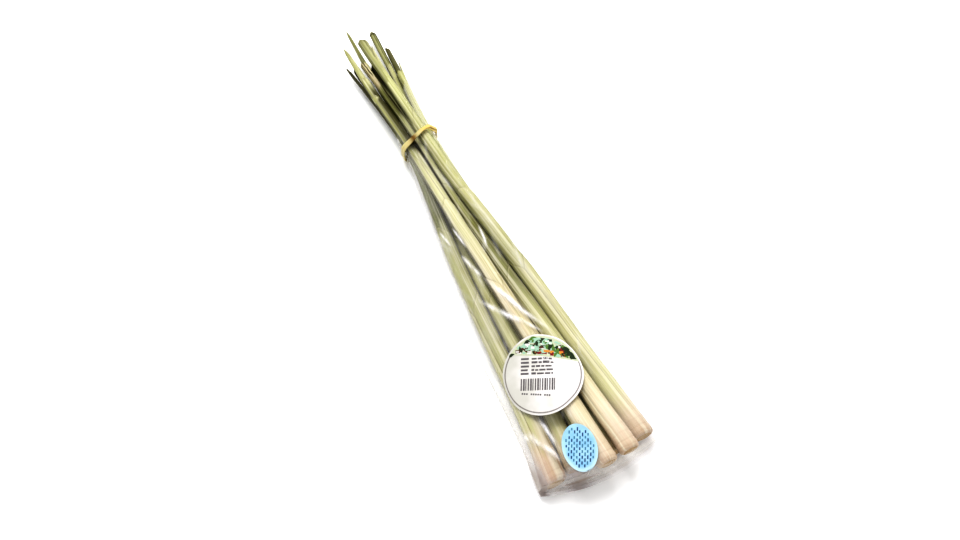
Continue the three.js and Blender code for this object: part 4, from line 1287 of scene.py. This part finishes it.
def label_look():
    """Coated white paper, greyer on its left with painted shade, with a thin grey line inside its edge."""
    k = Look("label_paper", tone=0.74)
    grain, soft = k.grain(EVEN, 2.4), k.grain(EVEN, 0.06, 2, 0.5)
    across = k.plus("across", k.swing(soft, 2.2))
    line = k.times(k.span("ring", 0.915, 0.925), k.span("ring", 0.958, 0.946))
    colour = k.over(
        # painted shade: greyer towards the left
        k.mix(k.span(across, -0.9, 0.35), (216, 214, 206), (250, 246, 244)),
        (k.span(grain, 0.4, 0.7, 0, 0.25), (224, 218, 216)),
        (k.times(line, k.span(grain, 0.35, 0.6, 0.95, 0.6)), (112, 104, 102)))
    return k.finish(colour, grain, (0.5, 0.6), PAPER_RELIEF, Specular_IOR_Level=PAPER_SHEEN)


def sticker_look():
    """Sky blue paper, paler towards its lower edge."""
    k = Look("sky_paper", tone=0.86)
    grain, soft = k.grain(EVEN, 2.2), k.grain(EVEN, 0.1, 2, 0.5)
    low = k.times(k.span("ring", 0.74, 0.98), k.span("low", -0.4, 0.6, 0.25, 1))
    colour = k.over(
        k.mix(k.span(soft, 0.35, 0.65), (148, 192, 218), (170, 208, 230)),
        (k.times(low, 0.8), (204, 226, 228)),
        (k.span(grain, 0.45, 0.7, 0, 0.3), (126, 176, 208)))
    return k.finish(colour, grain, (0.46, 0.56), PAPER_RELIEF, Specular_IOR_Level=PAPER_SHEEN)


def ink_look(name, colour, other):
    k = Look("ink_" + name, tone=0.7)
    place = k.node("TexCoord").outputs["Object"]
    spots = k.feed(k.node("TexNoise"), Scale=INK_SPOTS, Vector=place).outputs["Fac"]
    return k.finish(k.mix(k.span(spots, 0.4, 0.65), colour, other), spots, (0.38, 0.5))


# ---- Assembly ----
GREEN = {"stalk_outer_right": 0.55, "stalk_back_left": 0.6, "stalk_back_right": 0.6, "stalk_inner_left": 0.5}
GREEN_USUAL = 0.35  # how much green streaks the sheaths
CREAM = ("stalk_outer_left", "stalk_inner_left", "stalk_front")
HIDDEN = ("stalk_back_left", "stalk_back_right", "stalk_inner_left")
FIRST_SEED, SEED_STEP = 100, 20
ROUND_FRONT, ROUND_HIDDEN = 120, 84  # points round a stalk
TOP_FRAYS, LEAF_FRAYS = (9, 0.18), (6, 0.12)  # how many, and how far they splay
FILM_GRAIN = 18  # radius of the film's grain coordinates


def place(obj, slot, *nodes):
    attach(obj, "root")
    if nodes:
        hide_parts(*nodes)


cut = cut_look()
for number, (name, s) in enumerate(STALKS.items()):
    seed = FIRST_SEED + SEED_STEP * number
    form = Form()
    points, values, theta = stalk_side(name, s, seed, ROUND_HIDDEN if name in HIDDEN else ROUND_FRONT)
    form.sheet(points, wrap=True, **values)
    stalk_ends(form, points, theta, seed)
    frays(form, points[-1], seed + 9, *TOP_FRAYS)
    for n, shape in enumerate(LEAVES[name]):
        rim = leaf(form, name, s, shape, seed + 11 + n)
        frays(form, rim, seed + 15 + n, *LEAF_FRAYS)
    look = stalk_look(name + "_sheaths", PALETTES[name], GREEN.get(name, GREEN_USUAL))
    place(form.mesh("fine_" + name, [look, cut]), "cream_stem" if name in CREAM else "green_stem", name)

film, film_turn, film_crease_highlight = creased(film_points)
veil, dusk = film_haze_and_shadow(film_points)
form = Form().sheet(film, wrap=True, crease=film_crease_highlight, veil=veil, dusk=dusk, grain=side_by_side(
    FILM_GRAIN * np.cos(film_turn), film[..., 1], FILM_GRAIN * np.sin(film_turn)))
place(form.mesh("fine_film", [film_look()], sharp=180), "clear_film", "film_sleeve")
place(band_form().mesh("fine_band", [band_look()]), "rubber", "rubber_band")
place(paper_form(LABEL).mesh("fine_label", [label_look()]), "label_paper", "round_label")
place(paper_form(STICKER).mesh("fine_sticker", [sticker_look()]), "sticker_paper", "oval_sticker")
for name, draw, inks, slot in (("label_print", print_label, INKS, "label_paper"),
                               ("sticker_print", print_sticker, STICKER_INKS, "sticker_paper")):
    form = Form()
    draw(form)
    place(form.mesh(name, [ink_look(ink, *tones) for ink, tones in inks.items()]), slot)

# ---- Floor and light ----
FLOOR = 3  # metres from the middle to an edge
floor_mesh = bpy.data.meshes.new("floor")
floor_mesh.from_pydata([(-FLOOR, -FLOOR, 0), (FLOOR, -FLOOR, 0), (FLOOR, FLOOR, 0), (-FLOOR, FLOOR, 0)],
                       [], [(0, 1, 2, 3)])
floor = bpy.data.objects.new("floor", floor_mesh)
bpy.context.scene.collection.objects.link(floor)
matte = Look("floor")
matte.feed(matte.shader, Base_Color=(0.92, 0.92, 0.92, 1), Roughness=0.9, Specular_IOR_Level=0.1)
floor_mesh.materials.append(matte.material)


def area_light(name, at, size, power, mirrored):
    light = bpy.data.lights.new(name, "AREA")
    light.shape = "DISK"
    light.size = size
    light.energy = power
    lamp = bpy.data.objects.new(name, light)
    lamp.location = at
    lamp.rotation_euler = (-Vector(at)).to_track_quat("-Z", "Y").to_euler()
    lamp.visible_glossy = mirrored
    bpy.context.scene.collection.objects.link(lamp)


area_light("key", at=(0.13, 0.85, 1.75), size=1, power=19.5, mirrored=False)
area_light("sheen", at=(0.55, 1.1, 1.3), size=0.5, power=1.8, mirrored=True)
world = bpy.data.worlds.new("studio")
world.use_nodes = True
sky = world.node_tree.nodes["Background"]
sky.inputs["Color"].default_value = (1, 1, 1, 1)
sky.inputs["Strength"].default_value = 0.6
bpy.context.scene.world = world
bpy.context.scene.view_settings.view_transform = "Standard"
bpy.context.scene.view_settings.look = "Very High Contrast"
